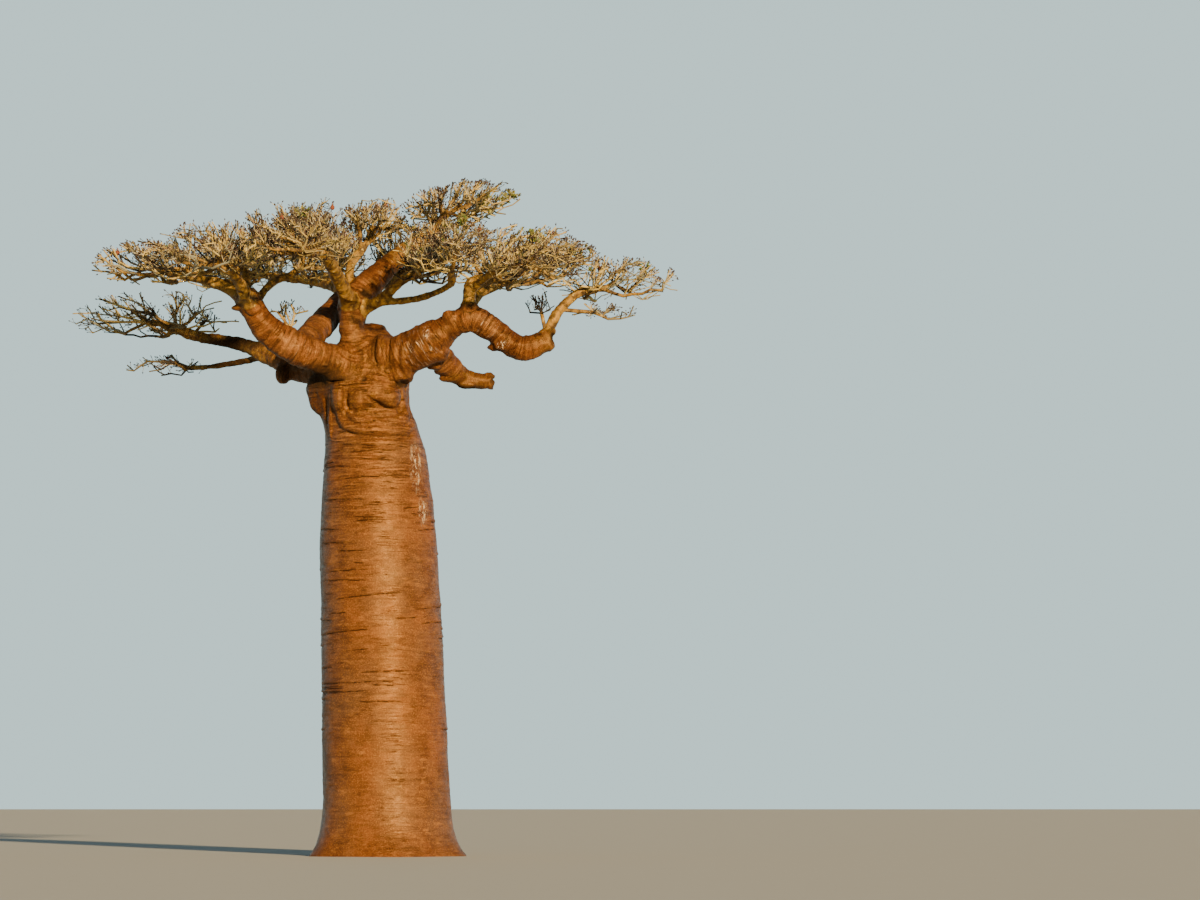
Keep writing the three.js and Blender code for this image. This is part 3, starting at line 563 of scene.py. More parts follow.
# Twig kinds: the base colour of each (linear). The last two are for twig ends. Then how often a spray
# gets each of the others in a bright mass, in a dark one and in a mass's lower part; the dark and brown
# kinds dealt out more in the shaded masses and low down are painted shade.
TWIG_KINDS = {
    "golden": (0.48, 0.38, 0.14),
    "ochre": (0.37, 0.28, 0.105),
    "brown": (0.15, 0.12, 0.06),
    "grey": (0.22, 0.22, 0.165),
    # Near-black twigs: painted shade between the lit twigs
    "dark": (0.028, 0.021, 0.015),
    "pale": (0.42, 0.39, 0.3),
    "rose": (0.28, 0.19, 0.15),
}
BRIGHT_SHARES = (0.36, 0.24, 0.1, 0.16, 0.14)
SHADED_SHARES = (0.1, 0.16, 0.26, 0.18, 0.3)
UNDER_SHADE_SHARES = (0.16, 0.24, 0.24, 0.12, 0.24)

# A mass's lower part is what lies this deep in it or under this level, and its sprays get darker kinds
# as painted shade. A spray is this long.
UNDER_DEPTH = 0.42
UNDER_LEVEL = 0
SPRAY_LENGTH = 0.9

# Masses in the shade, the shares of twig ends that turn pale or rosy, and how much smaller those
# are in the shade. Twigs thicker than the last radius are branches.
DARK_MASSES = {"left_lower", "left_lowest", "riser_clump", "dead_branch", "back_clump"}
PALE_ENDS = 0.3
ROSE_ENDS = 0.1
DARK_PALE_SHARE = 0.4
BRANCH_RADIUS = 0.042

# Sides of a twig by its radius, thickest first.
TWIG_SIDES = [(0.09, 10), (0.05, 8), (0.03, 6), (0.021, 4), (0, 3)]

# Buds at the twigs' ends.
BUD_SHARE = 0.9
BUD_LENGTH = 0.085
BUD_RADIUS = 0.026
BUD_SIZES = (0.7, 1.2)
BUD_SIDES = 3
BUD_BELLY = 0.42
BUD_SUNK = 0.1

# Fruits and leaf tufts, each near a place in the crown: the nearest twig end carries it.
FRUIT_PLACES = [
    (5.3, -0.5, 20.3), (6.74, -0.3, 19.0), (-1.66, -0.5, 20.95), (-5.02, -1, 20.3), (-0.02, 0, 21.1),
    (-8.4, -2.6, 19.1), (2.6, 2.5, 21.2), (-4.6, 6.4, 20.6), (0.8, 6.6, 21.1), (4.9, 6.2, 20.4),
    (-3.1, -6.8, 19.9), (3.1, -6.6, 19.5),
]
FRUIT_LENGTH = 0.17
FRUIT_RADIUS = 0.07
FRUIT_DETAIL = 3
FRUIT_LUMP = 0.03
FRUIT_NOISE = (2.5, 17)
STALK_LENGTH = 0.05
STALK_RADIUS = 0.012
STALK_SUNK = 0.02
STALK_SIDES = 5
TUFT_PLACES = [
    (3.9, 0, 21.1), (3.33, -0.5, 20.5), (0.89, -3, 19.1), (4.27, -2, 19.4), (6.17, -1, 19.0),
    (2.9, 0.8, 21.2), (3.6, 1.6, 21.0), (1.6, -3.1, 19.2), (5.2, 0.6, 19.9), (4.8, -5.2, 19.1),
    (2.4, -6.4, 19.4), (3.1, 5.8, 20.8), (5.2, 5.0, 20.2), (8.1, 0.4, 18.9), (0.2, 6.3, 20.9),
    (-4.9, 5.2, 20.4), (-2.2, -6.3, 19.9), (-7.1, -1.4, 19.3),
]
TUFT_ENDS = 14
TUFT_LEAVES = 6
LEAF_LENGTH = 0.16
LEAF_WIDTH = 0.05
LEAF_FOLD = 0.25
LEAF_ALONG = 0.8
LEAF_SCATTER = 0.6
LEAF_RISE = 0.3

# Where each point of a leaf stands: its share of the length, of half the width and of the fold.
LEAF_POINTS = [(0, 0, 0), (0.3, 1, 1), (0.7, 1, 1), (1, 0, 0), (0.7, -1, 1), (0.3, -1, 1), (0.5, 0, 0)]
LEAF_FACES = np.array([(0, 1, 6), (1, 2, 6), (2, 3, 6), (3, 4, 6), (4, 5, 6), (5, 0, 6)])

# The seeds of what grows on a mass, counted on from the mass's own, and of the leaves
GROWN_SEEDS = 100
LEAF_SEED = 77

# Colours, all linear
COPPER = (0.138, 0.046, 0.012)
DEEP_COPPER = (0.06, 0.019, 0.006)
BRIGHT_COPPER = (0.27, 0.114, 0.034)
GREY_BARK = (0.1, 0.046, 0.021)
GLOSS_TINT = (1, 0.6, 0.25)
# Near-black: painted shade in creases, grooves and pits, and also thin dark lines and spots
SHADE_AND_LINE_COLOUR = (0.015, 0.005, 0.002)
SAP_COLOUR = (0.5, 0.4, 0.3)
# Red-brown bark, also laid as painted shade in two of its areas
RUDDY_AND_SHADE_BARK = (0.055, 0.017, 0.005)
STAIN_COLOUR = (0.045, 0.018, 0.005)
# Near-black of the painted shade where shadows fall
BLACK_SHADE_COLOUR = (0.016, 0.009, 0.005)
HEAD_OCHRE = (0.3, 0.14, 0.025)
LIMB_OCHRE = (0.26, 0.15, 0.03)
LIMB_GREY = (0.06, 0.035, 0.014)
LICHEN = (0.36, 0.26, 0.08)
BUD_COLOUR = (0.055, 0.032, 0.026)
FRUIT_COLOUR = (0.16, 0.045, 0.025)
LEAF_COLOURS = {
    "leaf_green": (0.08, 0.12, 0.025),
    "leaf_yellow": (0.22, 0.21, 0.05),
    "leaf_olive": (0.14, 0.14, 0.045),
}

# Noise in the materials: scale, stretch, detail and, where it isn't a half, roughness. The span
# beside it is the values between which it turns to a share, and the least and most of that share.
EVEN = (1, 1, 1)
COPPER_LAYERS = [
    (GREY_BARK, (0.55, (1, 1, 0.7), 4), (0.35, 0.68)),
    (DEEP_COPPER, (1.7, (1, 1, 0.8), 5), (0.42, 0.7, 0, 0.75)),
    (BRIGHT_COPPER, (2.2, (1, 1, 2.5), 5), (0.55, 0.75, 0, 0.6)),
]
HEAD_LAYERS = [
    (STAIN_COLOUR, (2.6, EVEN, 6, 0.62), (0.4, 0.56), 0.85),
    (HEAD_OCHRE, (5.5, EVEN, 6, 0.7), (0.53, 0.62), 0.5),
]
SMOOTH_SPAN = (0.3, 1)
WRINKLES = (3.2, (0.4, 0.4, 4.6), 6, 0.62)
# Painted shade in the wrinkles' hollows and painted highlight on their ridges
WRINKLE_SHADE = (0.36, 0.52, 0.8, 0)
WRINKLE_HIGHLIGHT = (0.52, 0.66, 0, 0.5)
SPECKLE = (26, EVEN, 3, 0.6)
BRIGHT_SPECKS = (0.53, 0.66, 0, 0.6)
DARK_SPECKS = (0.34, 0.47, 0.6, 0)
DARK_THREADS = ((1.5, (0.3, 0.3, 5.2), 4, 0.55), (0, 0.016, 1, 0))
THREAD_PATCHES = ((1.3, (1, 1, 2), 3), (0.42, 0.6))
MOTTLE = (4.5, EVEN, 5, 0.65)
MOTTLE_SPAN = (0.4, 0.62)
BRANCH_MOTTLE_SPAN = (0.38, 0.62)
LICHEN_SPOTS = ((7.5, EVEN, 4), (0.6, 0.68))
CREASE_PATCHES = ((3.5, EVEN, 4), (0.36, 0.56, 0.15, 1))
# Patches of the near-black painted shade
BLACK_SHADE_PATCHES = ((6, EVEN, 6, 0.65), (0.3, 0.5, 0.75, 1))
SAP_DOTS = ((15, (1, 1, 0.4), 6, 0.75), (0.55, 0.6))
SAP_DRIPS = ((9, (1, 1, 0.22), 6, 0.7), (0.55, 0.61))
PALE_ARCS = ((1.9, (0.25, 0.25, 4.2), 4, 0.6), (0.002, 0.013, 1, 0))
ARC_PATCHES = ((4, EVEN, 4), (0.42, 0.58))
HEAD_PITS = (7, EVEN, 6, 0.7)
BARK_GLOSS = ((5, EVEN, 4), (0.3, 0.7, 0.38, 0.52))
BRANCH_SPOTS = ((11, EVEN, 4), (0.58, 0.7, 0, 0.7))
BRANCH_GRAIN = (14, EVEN, 5, 0.6)
BRANCH_GRAIN_DEPTH = 0.03
BRANCH_ROUGH = 0.75
GRAIN_SPAN = (0.3, 0.7)

# The spans of the painted shade in creases by the height over them and by their depth, and the most of
# each layer
CREASE_LINE = (0.002, 0.024, 1, 0)
CREASE_SHARE = (0.1, 1.1, 0, 0.9)
# The red layer laid again, partly painted shade
RUDDY_AND_SHADE_OVER = 0.45
THREADS_MOST = 0.8
# How strong the painted shade in grooves and pits is
GROOVE_SHADE_MOST = 0.6
SAP_MOST = 0.8
ARCS_MOST = 0.55

# Relief and gloss in the materials. Each bump has its depth in metres and its strength.
WRINKLE_HEIGHT = 0.75
PIT_HEIGHT = 1.2
SPECK_HEIGHT = 0.25
BARK_BUMP = (0.035, 0.8)
LINE_BUMP = (-0.03, 0.8)
BARK_SPECULAR = 0.36
PLAIN_SPECULAR = 0.3

# Finishes of the plain materials: roughness, the grain's scale and depth, and how much they shine
WOODY = ((0.6, 0.85), 22, 0.012, PLAIN_SPECULAR)
VELVETY = ((0.7, 0.9), 60, 0.004, PLAIN_SPECULAR)
LEAFY = ((0.45, 0.6), 22, 0.012, PLAIN_SPECULAR)
DUSTY = ((0.8, 0.9), 0.6, 0.01, 0.2)

# The photograph's view
IMAGE_WIDTH = 1200
FOCAL_PIXELS = 3750
SENSOR_WIDTH = 36
CAMERA_PLACE = (6.8088, -120, 1.6)
CAMERA_PITCH = 5.41526

# Studio: a pale floor as far as the eye sees, a low warm sun, and pale light all round that is
# brightest near the horizon. The levels are sines of the height over the horizon.
FLOOR_HALF = 1500
CLIP_END = 4 * FLOOR_HALF
SUN_FROM = (0.36, -1, 0.22)
SUN_ENERGY = 11.5
SUN_COLOUR = (1, 0.7, 0.34)
SUN_SOFTNESS = 1.5
LOW_SKY = (0.7, 0.93, 0.93)
HIGH_SKY = (0.08, 0.1, 0.11)
SKY_LEVELS = (0.2, 0.42)
FLOOR_COLOUR = (0.47, 0.49, 0.5)


# Noise

# Large odd numbers that mix a point's place and a seed, and how many of the bits are kept
MIX_X, MIX_Y, MIX_Z, MIX_SEED = 374761393, 668265263, 2147483647, 1274126177
ALL_BITS = 0xFFFFFFFF
LAST_BITS = 0xFFFF

# The share of each layer of layered noise, and how much finer it is than the first
NOISE_LAYERS = [(1, 1), (0.5, 2.03), (0.25, 4.1)]


def lattice(corner, seed):
    """A value from 0 to 1 for each whole-numbered point of space."""
    mixed = corner[..., 0] * MIX_X + corner[..., 1] * MIX_Y + corner[..., 2] * MIX_Z
    mixed = (mixed + seed * MIX_SEED) & ALL_BITS
    mixed = ((mixed ^ (mixed >> 13)) * MIX_SEED) & ALL_BITS
    return ((mixed ^ (mixed >> 16)) & LAST_BITS) / LAST_BITS


def noise(points, scale, seed=0):
    """Smooth noise from -1 to 1. The scale is one number, or one for each axis."""
    place = points * np.asarray(scale, float)
    corner = np.floor(place).astype(np.int64)
    share = place - corner
    share = share * share * (3 - 2 * share)
    total = np.zeros(len(points))
    for offset in np.ndindex(2, 2, 2):
        weight = np.prod(np.where(np.array(offset) == 1, share, 1 - share), axis=1)
        total += weight * lattice(corner + np.array(offset), seed)
    return 2 * total - 1


def layered_noise(points, scale, seed=0):
    """Noise with finer noise laid over it."""
    scale = np.asarray(scale, float)
    layers = [share * noise(points, finer * scale, seed + number)
              for number, (share, finer) in enumerate(NOISE_LAYERS)]
    return sum(layers) / sum(share for share, _ in NOISE_LAYERS)


def laid_waves(points, waves):
    """Waves of noise laid over each other, each with its height, scale and seed."""
    return sum(height * noise(points, scale, seed) for height, scale, seed in waves)


# Curves and distances

def curve_through(stations, steps):
    """A smooth curve through stations, with the same number of steps from each to the next."""
    stations = np.array(stations, float)
    knots = np.vstack([2 * stations[0] - stations[1], stations, 2 * stations[-1] - stations[-2]])
    t = (np.arange(steps) / steps)[:, None]
    pieces = []
    for before, start, end, after in zip(knots, knots[1:], knots[2:], knots[3:]):
        leave, arrive = (end - before) / 2, (after - start) / 2
        pieces.append(
            (2 * t**3 - 3 * t**2 + 1) * start + (t**3 - 2 * t**2 + t) * leave
            + (3 * t**2 - 2 * t**3) * end + (t**3 - t**2) * arrive
        )
    return np.vstack([*pieces, stations[-1:]])


def segments_of(lines):
    """The stretches of lines of (x, y, z, radius) points: starts, runs and both ends' radii."""
    starts = np.vstack([line[:-1] for line in lines])
    ends = np.vstack([line[1:] for line in lines])
    return starts[:, :3], ends[:, :3] - starts[:, :3], starts[:, 3], ends[:, 3]


def along_segments(points, starts, runs):
    """For each point and stretch, the share of the stretch nearest the point and the distance."""
    size = np.sum(runs * runs, axis=1)
    reach = points @ runs.T - np.sum(starts * runs, axis=1)
    share = np.clip(reach / size, 0, 1)
    square = np.sum(points * points, axis=1)[:, None] - 2 * points @ starts.T
    square = square + np.sum(starts * starts, axis=1)
    square += share * (share * size - 2 * reach)
    return share, np.sqrt(np.maximum(square, 0))


def distance_to_line(points, line):
    """The distance from points to the side of a limb, and how far along it, in metres, they lie."""
    starts, runs, first, last = segments_of([line])
    share, distance = along_segments(points, starts, runs)
    gap = distance - (first + share * (last - first))
    best = np.argmin(gap, axis=1)
    rows = np.arange(len(points))
    lengths = np.linalg.norm(runs, axis=1)
    before = np.concatenate([[0], np.cumsum(lengths)[:-1]])
    return gap[rows, best], before[best] + share[rows, best] * lengths[best]


def distance_to_blob(points, centre, half):
    """Roughly the distance from points to an ellipsoid."""
    place = (points - centre) / half
    size = np.linalg.norm(place, axis=1)
    return size * (size - 1) / np.maximum(np.linalg.norm(place / half, axis=1), 1e-6)


def join(a, b, soft):
    """The smaller of two distances, rounded off where they are within soft of each other."""
    blend = np.clip(0.5 + 0.5 * (b - a) / soft, 0, 1)
    return b + (a - b) * blend - soft * blend * (1 - blend)


# Shape of the trunk and limbs

def trunk_middle(height):
    return np.interp(height, TRUNK_STATIONS[:, 0], TRUNK_STATIONS[:, 1])


def trunk_radius(angle, height):
    """The trunk's radius as in the part's source, with the steps between stations eased."""
    eased = [np.interp(height + step, TRUNK_STATIONS[:, 0], TRUNK_STATIONS[:, 2]) for step in EASE_STEPS]
    radius = np.mean(eased, axis=0)
    top = TRUNK_STATIONS[-1, 0]
    radius = np.where(height > top, radius - TOP_TAPER * (height - top), radius)
    ribs = 1 + FLARE_DEPTH * np.cos(FLARE_RIBS * angle + FLARE_TURN)
    radius = radius + FLARE_REACH * ribs * np.exp(-np.maximum(height, 0) / FLARE_HEIGHT)
    for middle, level, reach, tall, wide in LOBES:
        turn = angle - math.radians(middle)
        across = np.arctan2(np.sin(turn), np.cos(turn)) / math.radians(wide)
        radius = radius + reach * np.exp(-(across**2) - ((height - level) / tall) ** 2)
    return radius


def trunk_angle(points):
    return np.arctan2(points[:, 1], points[:, 0] - trunk_middle(points[:, 2]))


def on_trunk(degrees, height, sunk=0):
    """A point of the trunk's surface, or under it."""
    angle = math.radians(degrees)
    radius = float(trunk_radius(np.array(angle), np.array(height))) - sunk
    return (float(trunk_middle(height)) + radius * math.cos(angle), radius * math.sin(angle), height)


def distance_to_trunk(points):
    out = np.hypot(points[:, 0] - trunk_middle(points[:, 2]), points[:, 1])
    return SHAFT_SLACK * (out - trunk_radius(trunk_angle(points), points[:, 2]))


def growth_line(name):
    """A limb's centreline as the part's source has it, with radii in even steps."""
    stations = np.array(LIMBS[name])
    line = curve_through(stations, RINGS_EACH)
    line[:, 3] = np.interp(np.arange(len(line)) / RINGS_EACH, np.arange(len(stations)), stations[:, 3])
    return line


def stem_of(mass):
    """The stem of a mass, from its foot, sunk in its limb, to the crotch where its twigs part."""
    centre = np.array(mass["centre"])
    if "foot" in mass:
        foot = np.array(mass["foot"])
        share = SIDE_STEM
    else:
        tip, before = GROWTH_LINES[mass["on"]][[-1, -2], :3]
        foot = tip + (before - tip) / np.linalg.norm(before - tip) * mass["stem"] * SUNK
        share = TIP_STEM
    crotch = foot + (centre - foot) * share
    return np.array([[*foot, mass["stem"]], [*crotch, mass["stem"]]])


GROWTH_LINES = {name: growth_line(name) for name in LIMBS}
STEMS = {name: stem_of(mass) for name, mass in MASSES.items()}


def skin_line(name):
    """A limb's centreline for the skin, carried on into the stem of the mass that it bears."""
    stations = [list(station) for station in LIMBS[name]]
    for mass_name, mass in MASSES.items():
        if mass["on"] == name and "foot" not in mass:
            crotch = STEMS[mass_name][1, :3]
            stations.append([*crotch, mass["stem"] * STEM_SKIN])
    return curve_through(stations, SKIN_STEPS)


SKIN_LINES = {name: skin_line(name) for name in LIMBS}


def line_on_trunk(places, sunk):
    """A line over the trunk's surface, sunk by a share of its own thickness."""
    stations = [(*on_trunk(angle, height, sunk * thick), thick) for angle, height, thick in places]
    return curve_through(stations, LINE_STEPS)


ROLL_LINES = [line_on_trunk(roll, ROLL_SUNK) for roll in ROLLS]
GROOVE_LINES = [line_on_trunk(groove, GROOVE_SUNK) for groove in GROOVES]


def broken_end(points, name):
    """How far points stand beyond the ragged plane where a limb is broken off."""
    tip, before = SKIN_LINES[name][-1, :3], SKIN_LINES[name][-2, :3]
    way = (tip - before) / np.linalg.norm(tip - before)
    ragged = BREAK_ROUGH * layered_noise(points, *BREAK_NOISE)
    return (points - tip) @ way - BREAKS[name] + ragged


class Form:
    """One form of the skin besides the trunk's shaft: a box round it, a function that measures how
    far points are from it and how far along it they lie, and how softly it joins the rest."""

    def __init__(self, low, high, measure, soft, hollow=False, limb=-1):
        self.low = np.array(low) - FORM_MARGIN - soft
        self.high = np.array(high) + FORM_MARGIN + soft
        self.measure = measure
        self.soft = soft
        self.hollow = hollow
        self.limb = limb

    def near(self, points):
        return np.flatnonzero(np.all((points > self.low) & (points < self.high), axis=1))


def form_round(line, measure, soft, hollow=False, limb=-1):
    """A form that lies round a line of (x, y, z, radius) points."""
    reach = line[:, 3].max()
    return Form(line[:, :3].min(0) - reach, line[:, :3].max(0) + reach, measure, soft, hollow, limb)


def limb_form(index, name):
    line = SKIN_LINES[name]

    def measure(points):
        gap, along = distance_to_line(points, line)
        if name in BREAKS:
            gap = np.maximum(gap, broken_end(points, name))
        return gap, along

    return form_round(line, measure, min(JOIN_MOST, JOIN_SHARE * line[0, 3]), limb=index)


def blob_form(centre, half, soft, hollow=False):
    centre, half = np.array(centre), np.array(half)

    def measure(points):
        return distance_to_blob(points, centre, half), None

    return Form(centre - half, centre + half, measure, soft, hollow)


def roll_form(line, hollow=False):
    def measure(points):
        return distance_to_line(points, line)[0], None

    return form_round(line, measure, ROLL_JOIN, hollow)


MAIN_FORMS = [
    *(limb_form(index, name) for index, name in enumerate(SKIN_LINES)),
    *(blob_form(*knob) for knob in KNOBS),
]


def skin_distance(points, near, forms):
    """The distance from points to the skin of forms, the limb that is nearest (-1 is the trunk), and
    how far along it they lie. near holds, for each form, which of the points are close to it."""
    distance = distance_to_trunk(points)
    nearest = np.full(len(points), -1)
    along = points[:, 2].copy()
    closest = distance.copy()
    for form, close in zip(forms, near):
        if not len(close):
            continue
        gap, place = form.measure(points[close])
        if form.hollow:
            distance[close] = -join(-distance[close], gap, form.soft)
        else:
            distance[close] = join(distance[close], gap, form.soft)
        if form.limb >= 0:
            wins = gap < closest[close]
            nearest[close[wins]] = form.limb
            along[close[wins]] = place[wins]
            closest[close] = np.minimum(closest[close], gap)
    return distance, nearest, along


def skin_slope(points, distance, near):
    """The direction in which the distance to the skin grows fastest."""
    slope = [skin_distance(points + SLOPE_STEP * axis, near, FORMS)[0] - distance for axis in np.eye(3)]
    return np.stack(slope, axis=1) / SLOPE_STEP


def line_on_front(places, sunk):
    """A line over the skin through (x, height, thickness), as the viewer sees it, a little sunk."""
    x, height, thick = curve_through(places, LINE_STEPS).T
    points = np.column_stack([x, np.full_like(x, FRONT_START), height])
    everything = [np.arange(len(points))] * len(MAIN_FORMS)
    for _ in range(FRONT_STEPS):
        gap = skin_distance(points, everything, MAIN_FORMS)[0]
        points[:, 1] = np.minimum(points[:, 1] + FRONT_PACE * gap, 0)
    points[:, 1] += sunk * thick
    return np.column_stack([points, thick])[gap < FRONT_GAP]


RIDGE_LINES = [line_on_front(ridge, RIDGE_SUNK) for ridge in RIDGES]
SEAM_LINES = [line_on_front(seam, GROOVE_SUNK) for seam in SEAMS]
FORMS = [
    *MAIN_FORMS,
    *(roll_form(line) for line in [*ROLL_LINES, *RIDGE_LINES]),
    *(blob_form(*hollow, HOLLOW_EDGE, True) for hollow in HOLLOWS),
    *(roll_form(line, True) for line in [*GROOVE_LINES, *SEAM_LINES]),
]


# Meshes from arrays

# A way is steep from this share of its length on. Then sideways stands in for upward.
STEEP = 0.9
UPWARD = (0.0, 0.0, 1.0)
SIDEWAYS = (1.0, 0.0, 0.0)


class Pile:
    """Points and triangles of many small shapes, gathered to be joined in one mesh."""

    def __init__(self):
        self.points = []
        self.faces = []
        self.kinds = []
        self.count = 0

    def add(self, points, faces, kind=0):
        self.points.append(points)
        self.faces.append(faces + self.count)
        self.kinds.append(np.full(len(faces), kind))
        self.count += len(points)

    def mesh(self, name):
        mesh = mesh_of(name, np.vstack(self.points), np.vstack(self.faces))
        mesh.polygons.foreach_set("material_index", np.concatenate(self.kinds).astype(np.int32))
        return mesh


def mesh_of(name, points, *face_lists):
    """A mesh from points and arrays of faces, each array with its own number of corners."""
    mesh = bpy.data.meshes.new(name)
    mesh.vertices.add(len(points))
    mesh.vertices.foreach_set("co", np.asarray(points, np.float32).ravel())
    corners = np.concatenate([faces.ravel() for faces in face_lists])
    sizes = np.concatenate([np.full(len(faces), faces.shape[1]) for faces in face_lists])
    mesh.loops.add(len(corners))
    mesh.loops.foreach_set("vertex_index", corners.astype(np.int32))
    mesh.polygons.add(len(sizes))
    mesh.polygons.foreach_set("loop_start", (np.cumsum(sizes) - sizes).astype(np.int32))
    mesh.polygons.foreach_set("use_smooth", np.ones(len(sizes), bool))
    mesh.update(calc_edges=True)
    return mesh


def stand(name, data):
    """A new object in the scene."""
    made = bpy.data.objects.new(name, data)
    bpy.context.scene.collection.objects.link(made)
    return made


def piece_of(mesh, materials, replaced):
    """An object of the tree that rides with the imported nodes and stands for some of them."""
    for material in materials:
        mesh.materials.append(material)
    piece = stand(mesh.name, mesh)
    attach(piece, BODY)
    if replaced:
        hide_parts(*replaced)
    return piece


def cross(a, b):
    return np.array([a[1] * b[2] - a[2] * b[1], a[2] * b[0] - a[0] * b[2], a[0] * b[1] - a[1] * b[0]])


def frames_along(line):
    """Two directions across a line at each of its points, turned as little as possible."""
    ways = np.empty_like(line)
    ways[1:-1] = line[2:] - line[:-2]
    ways[0] = line[1] - line[0]
    ways[-1] = line[-1] - line[-2]
    ways /= np.linalg.norm(ways, axis=1)[:, None]
    start = UPWARD if abs(ways[0][2]) < STEEP else SIDEWAYS
    side = cross(ways[0], start)
    sides = np.empty_like(line)
    for i, way in enumerate(ways):
        side = side - way * side.dot(way)
        side /= math.sqrt(side.dot(side))
        sides[i] = side
    return sides, np.cross(ways, sides)


def ring_faces(rings, sides):
    """The triangles between rings of the same number of sides."""
    first = (np.arange(rings - 1)[:, None] * sides + np.arange(sides)).ravel()
    turned = (np.arange(rings - 1)[:, None] * sides + (np.arange(sides) + 1) % sides).ravel()
    lower = np.stack([first, turned, turned + sides], axis=1)
    return np.vstack([lower, np.stack([first, turned + sides, first + sides], axis=1)])


RING_FACES = {}


def tube_rings(line, radii, sides):
    """The rings of points of a tube round a line."""
    across, up = frames_along(line)
    turn = np.arange(sides) / sides * 2 * math.pi
    ring = np.cos(turn)[None, :, None] * across[:, None] + np.sin(turn)[None, :, None] * up[:, None]
    return line[:, None] + radii[:, None, None] * ring


def tube(line, radii, sides):
    """A tube round a line, open at both ends."""
    key = (len(line), sides)
    if key not in RING_FACES:
        RING_FACES[key] = ring_faces(*key)
    return tube_rings(line, radii, sides).reshape(-1, 3), RING_FACES[key]


def closed(rings, start, end):
    """Rings of points made into a shape that ends in a point at each end."""
    number, sides = rings.shape[:2]
    spin = np.arange(sides)
    after = (spin + 1) % sides
    last = (number - 1) * sides
    base = np.stack([after, spin, np.full(sides, last + sides)], axis=1)
    top = np.stack([last + spin, last + after, np.full(sides, last + sides + 1)], axis=1)
    points = np.vstack([rings.reshape(-1, 3), start, end])
    return points, np.vstack([ring_faces(number, sides), base, top])


def closed_tube(line, radii, sides):
    return closed(tube_rings(line, radii, sides), line[0], line[-1])


# The bark's skin

def trunk_rings():
    """Rings round the trunk, from below the ground to the top of the head."""
    turn = np.arange(TRUNK_SIDES) / TRUNK_SIDES * 2 * math.pi
    rings = []
    for height in np.arange(-BELOW_GROUND, TRUNK_STATIONS[-1, 0], TRUNK_RING_STEP):
        level = np.full_like(turn, height)
        radius = trunk_radius(turn, level)
        ring = [trunk_middle(height) + radius * np.cos(turn), radius * np.sin(turn), level]
        rings.append(np.stack(ring, axis=1))
    return np.array(rings)


def remeshed(rough):
    """The points and quads of an object's mesh after small even faces are laid over it."""
    modifier = rough.modifiers.new("voxels", "REMESH")
    modifier.mode = "VOXEL"
    modifier.voxel_size = VOXEL
    modifier.adaptivity = 0
    evaluated = rough.evaluated_get(bpy.context.evaluated_depsgraph_get())
    mesh = evaluated.to_mesh()
    points = np.empty(len(mesh.vertices) * 3, np.float32)
    mesh.vertices.foreach_get("co", points)
    corners = np.empty(len(mesh.loops), np.int32)
    mesh.loops.foreach_get("vertex_index", corners)
    quads = len(corners) == 4 * len(mesh.polygons)
    evaluated.to_mesh_clear()
    if not quads:
        raise ValueError("the remeshed skin has faces that aren't quads")
    return points.reshape(-1, 3).astype(float), corners.reshape(-1, 4)


def rough_skin():
    """One closed mesh round the trunk and all limbs, still in steps."""
    pile = Pile()
    rings = trunk_rings()
    foot = rings[0, 0, 2]
    pile.add(*closed(rings, (trunk_middle(foot), 0, foot), rings[-1].mean(0)))
    for line in [*SKIN_LINES.values(), *ROLL_LINES, *RIDGE_LINES]:
        pile.add(*closed_tube(line[:, :3], line[:, 3], LIMB_SIDES))
    ball, ball_faces = unit_ball(KNOB_DETAIL)
    for centre, half, _ in KNOBS:
        pile.add(ball * np.array(half) + np.array(centre), ball_faces)
    rough = stand("rough_skin", pile.mesh("rough_skin"))
    shape = remeshed(rough)
    bpy.data.objects.remove(rough)
    return shape


def unit_ball(detail):
    """Points and triangles of a ball made from an icosahedron."""
    shape = bmesh.new()
    bmesh.ops.create_icosphere(shape, subdivisions=detail, radius=1)
    points = np.array([vertex.co[:] for vertex in shape.verts])
    faces = np.array([[vertex.index for vertex in face.verts] for face in shape.faces])
    shape.free()
    return points, faces


def edges_of(quads):
    pairs = np.vstack([quads[:, [k, (k + 1) % 4]] for k in range(4)])
    return np.unique(np.sort(pairs, axis=1), axis=0)


def relaxed(points, edges, rounds):
    """Points drawn towards the middle of their neighbours."""
    both = np.concatenate([edges[:, 0], edges[:, 1]])
    other = np.concatenate([edges[:, 1], edges[:, 0]])
    number = np.maximum(np.bincount(both, minlength=len(points)), 1)
    for _ in range(rounds):
        total = [np.bincount(both, weights=column[other], minlength=len(points)) for column in points.T]
        points = 0.5 * points + 0.5 * np.stack(total, axis=1) / number[:, None]
    return points


def limited(distance):
    return np.clip(distance, -SETTLE_MOST, SETTLE_MOST)


def settled(points, edges, quads):
    """Points moved onto the smooth skin, the skin's outward direction at each, the limb nearest to
    each, and how far along it they lie."""
    points = relaxed(points, edges, FIRST_EASING)
    near = [form.near(points) for form in FORMS]
    for _ in range(SETTLE_ROUNDS):
        distance = skin_distance(points, near, FORMS)[0]
        points = points - limited(distance)[:, None] * vertex_normals(points, quads)
        points = relaxed(points, edges, 1)
    distance = skin_distance(points, near, FORMS)[0]
    slope = skin_slope(points, distance, near)
    size = np.maximum(np.sum(slope * slope, axis=1), LEAST_SLOPE)
    points = points - (limited(distance) / size)[:, None] * slope
    distance, nearest, along = skin_distance(points, near, FORMS)
    points = points - (limited(distance) / size)[:, None] * slope
    return points, vertex_normals(points, quads), nearest, along


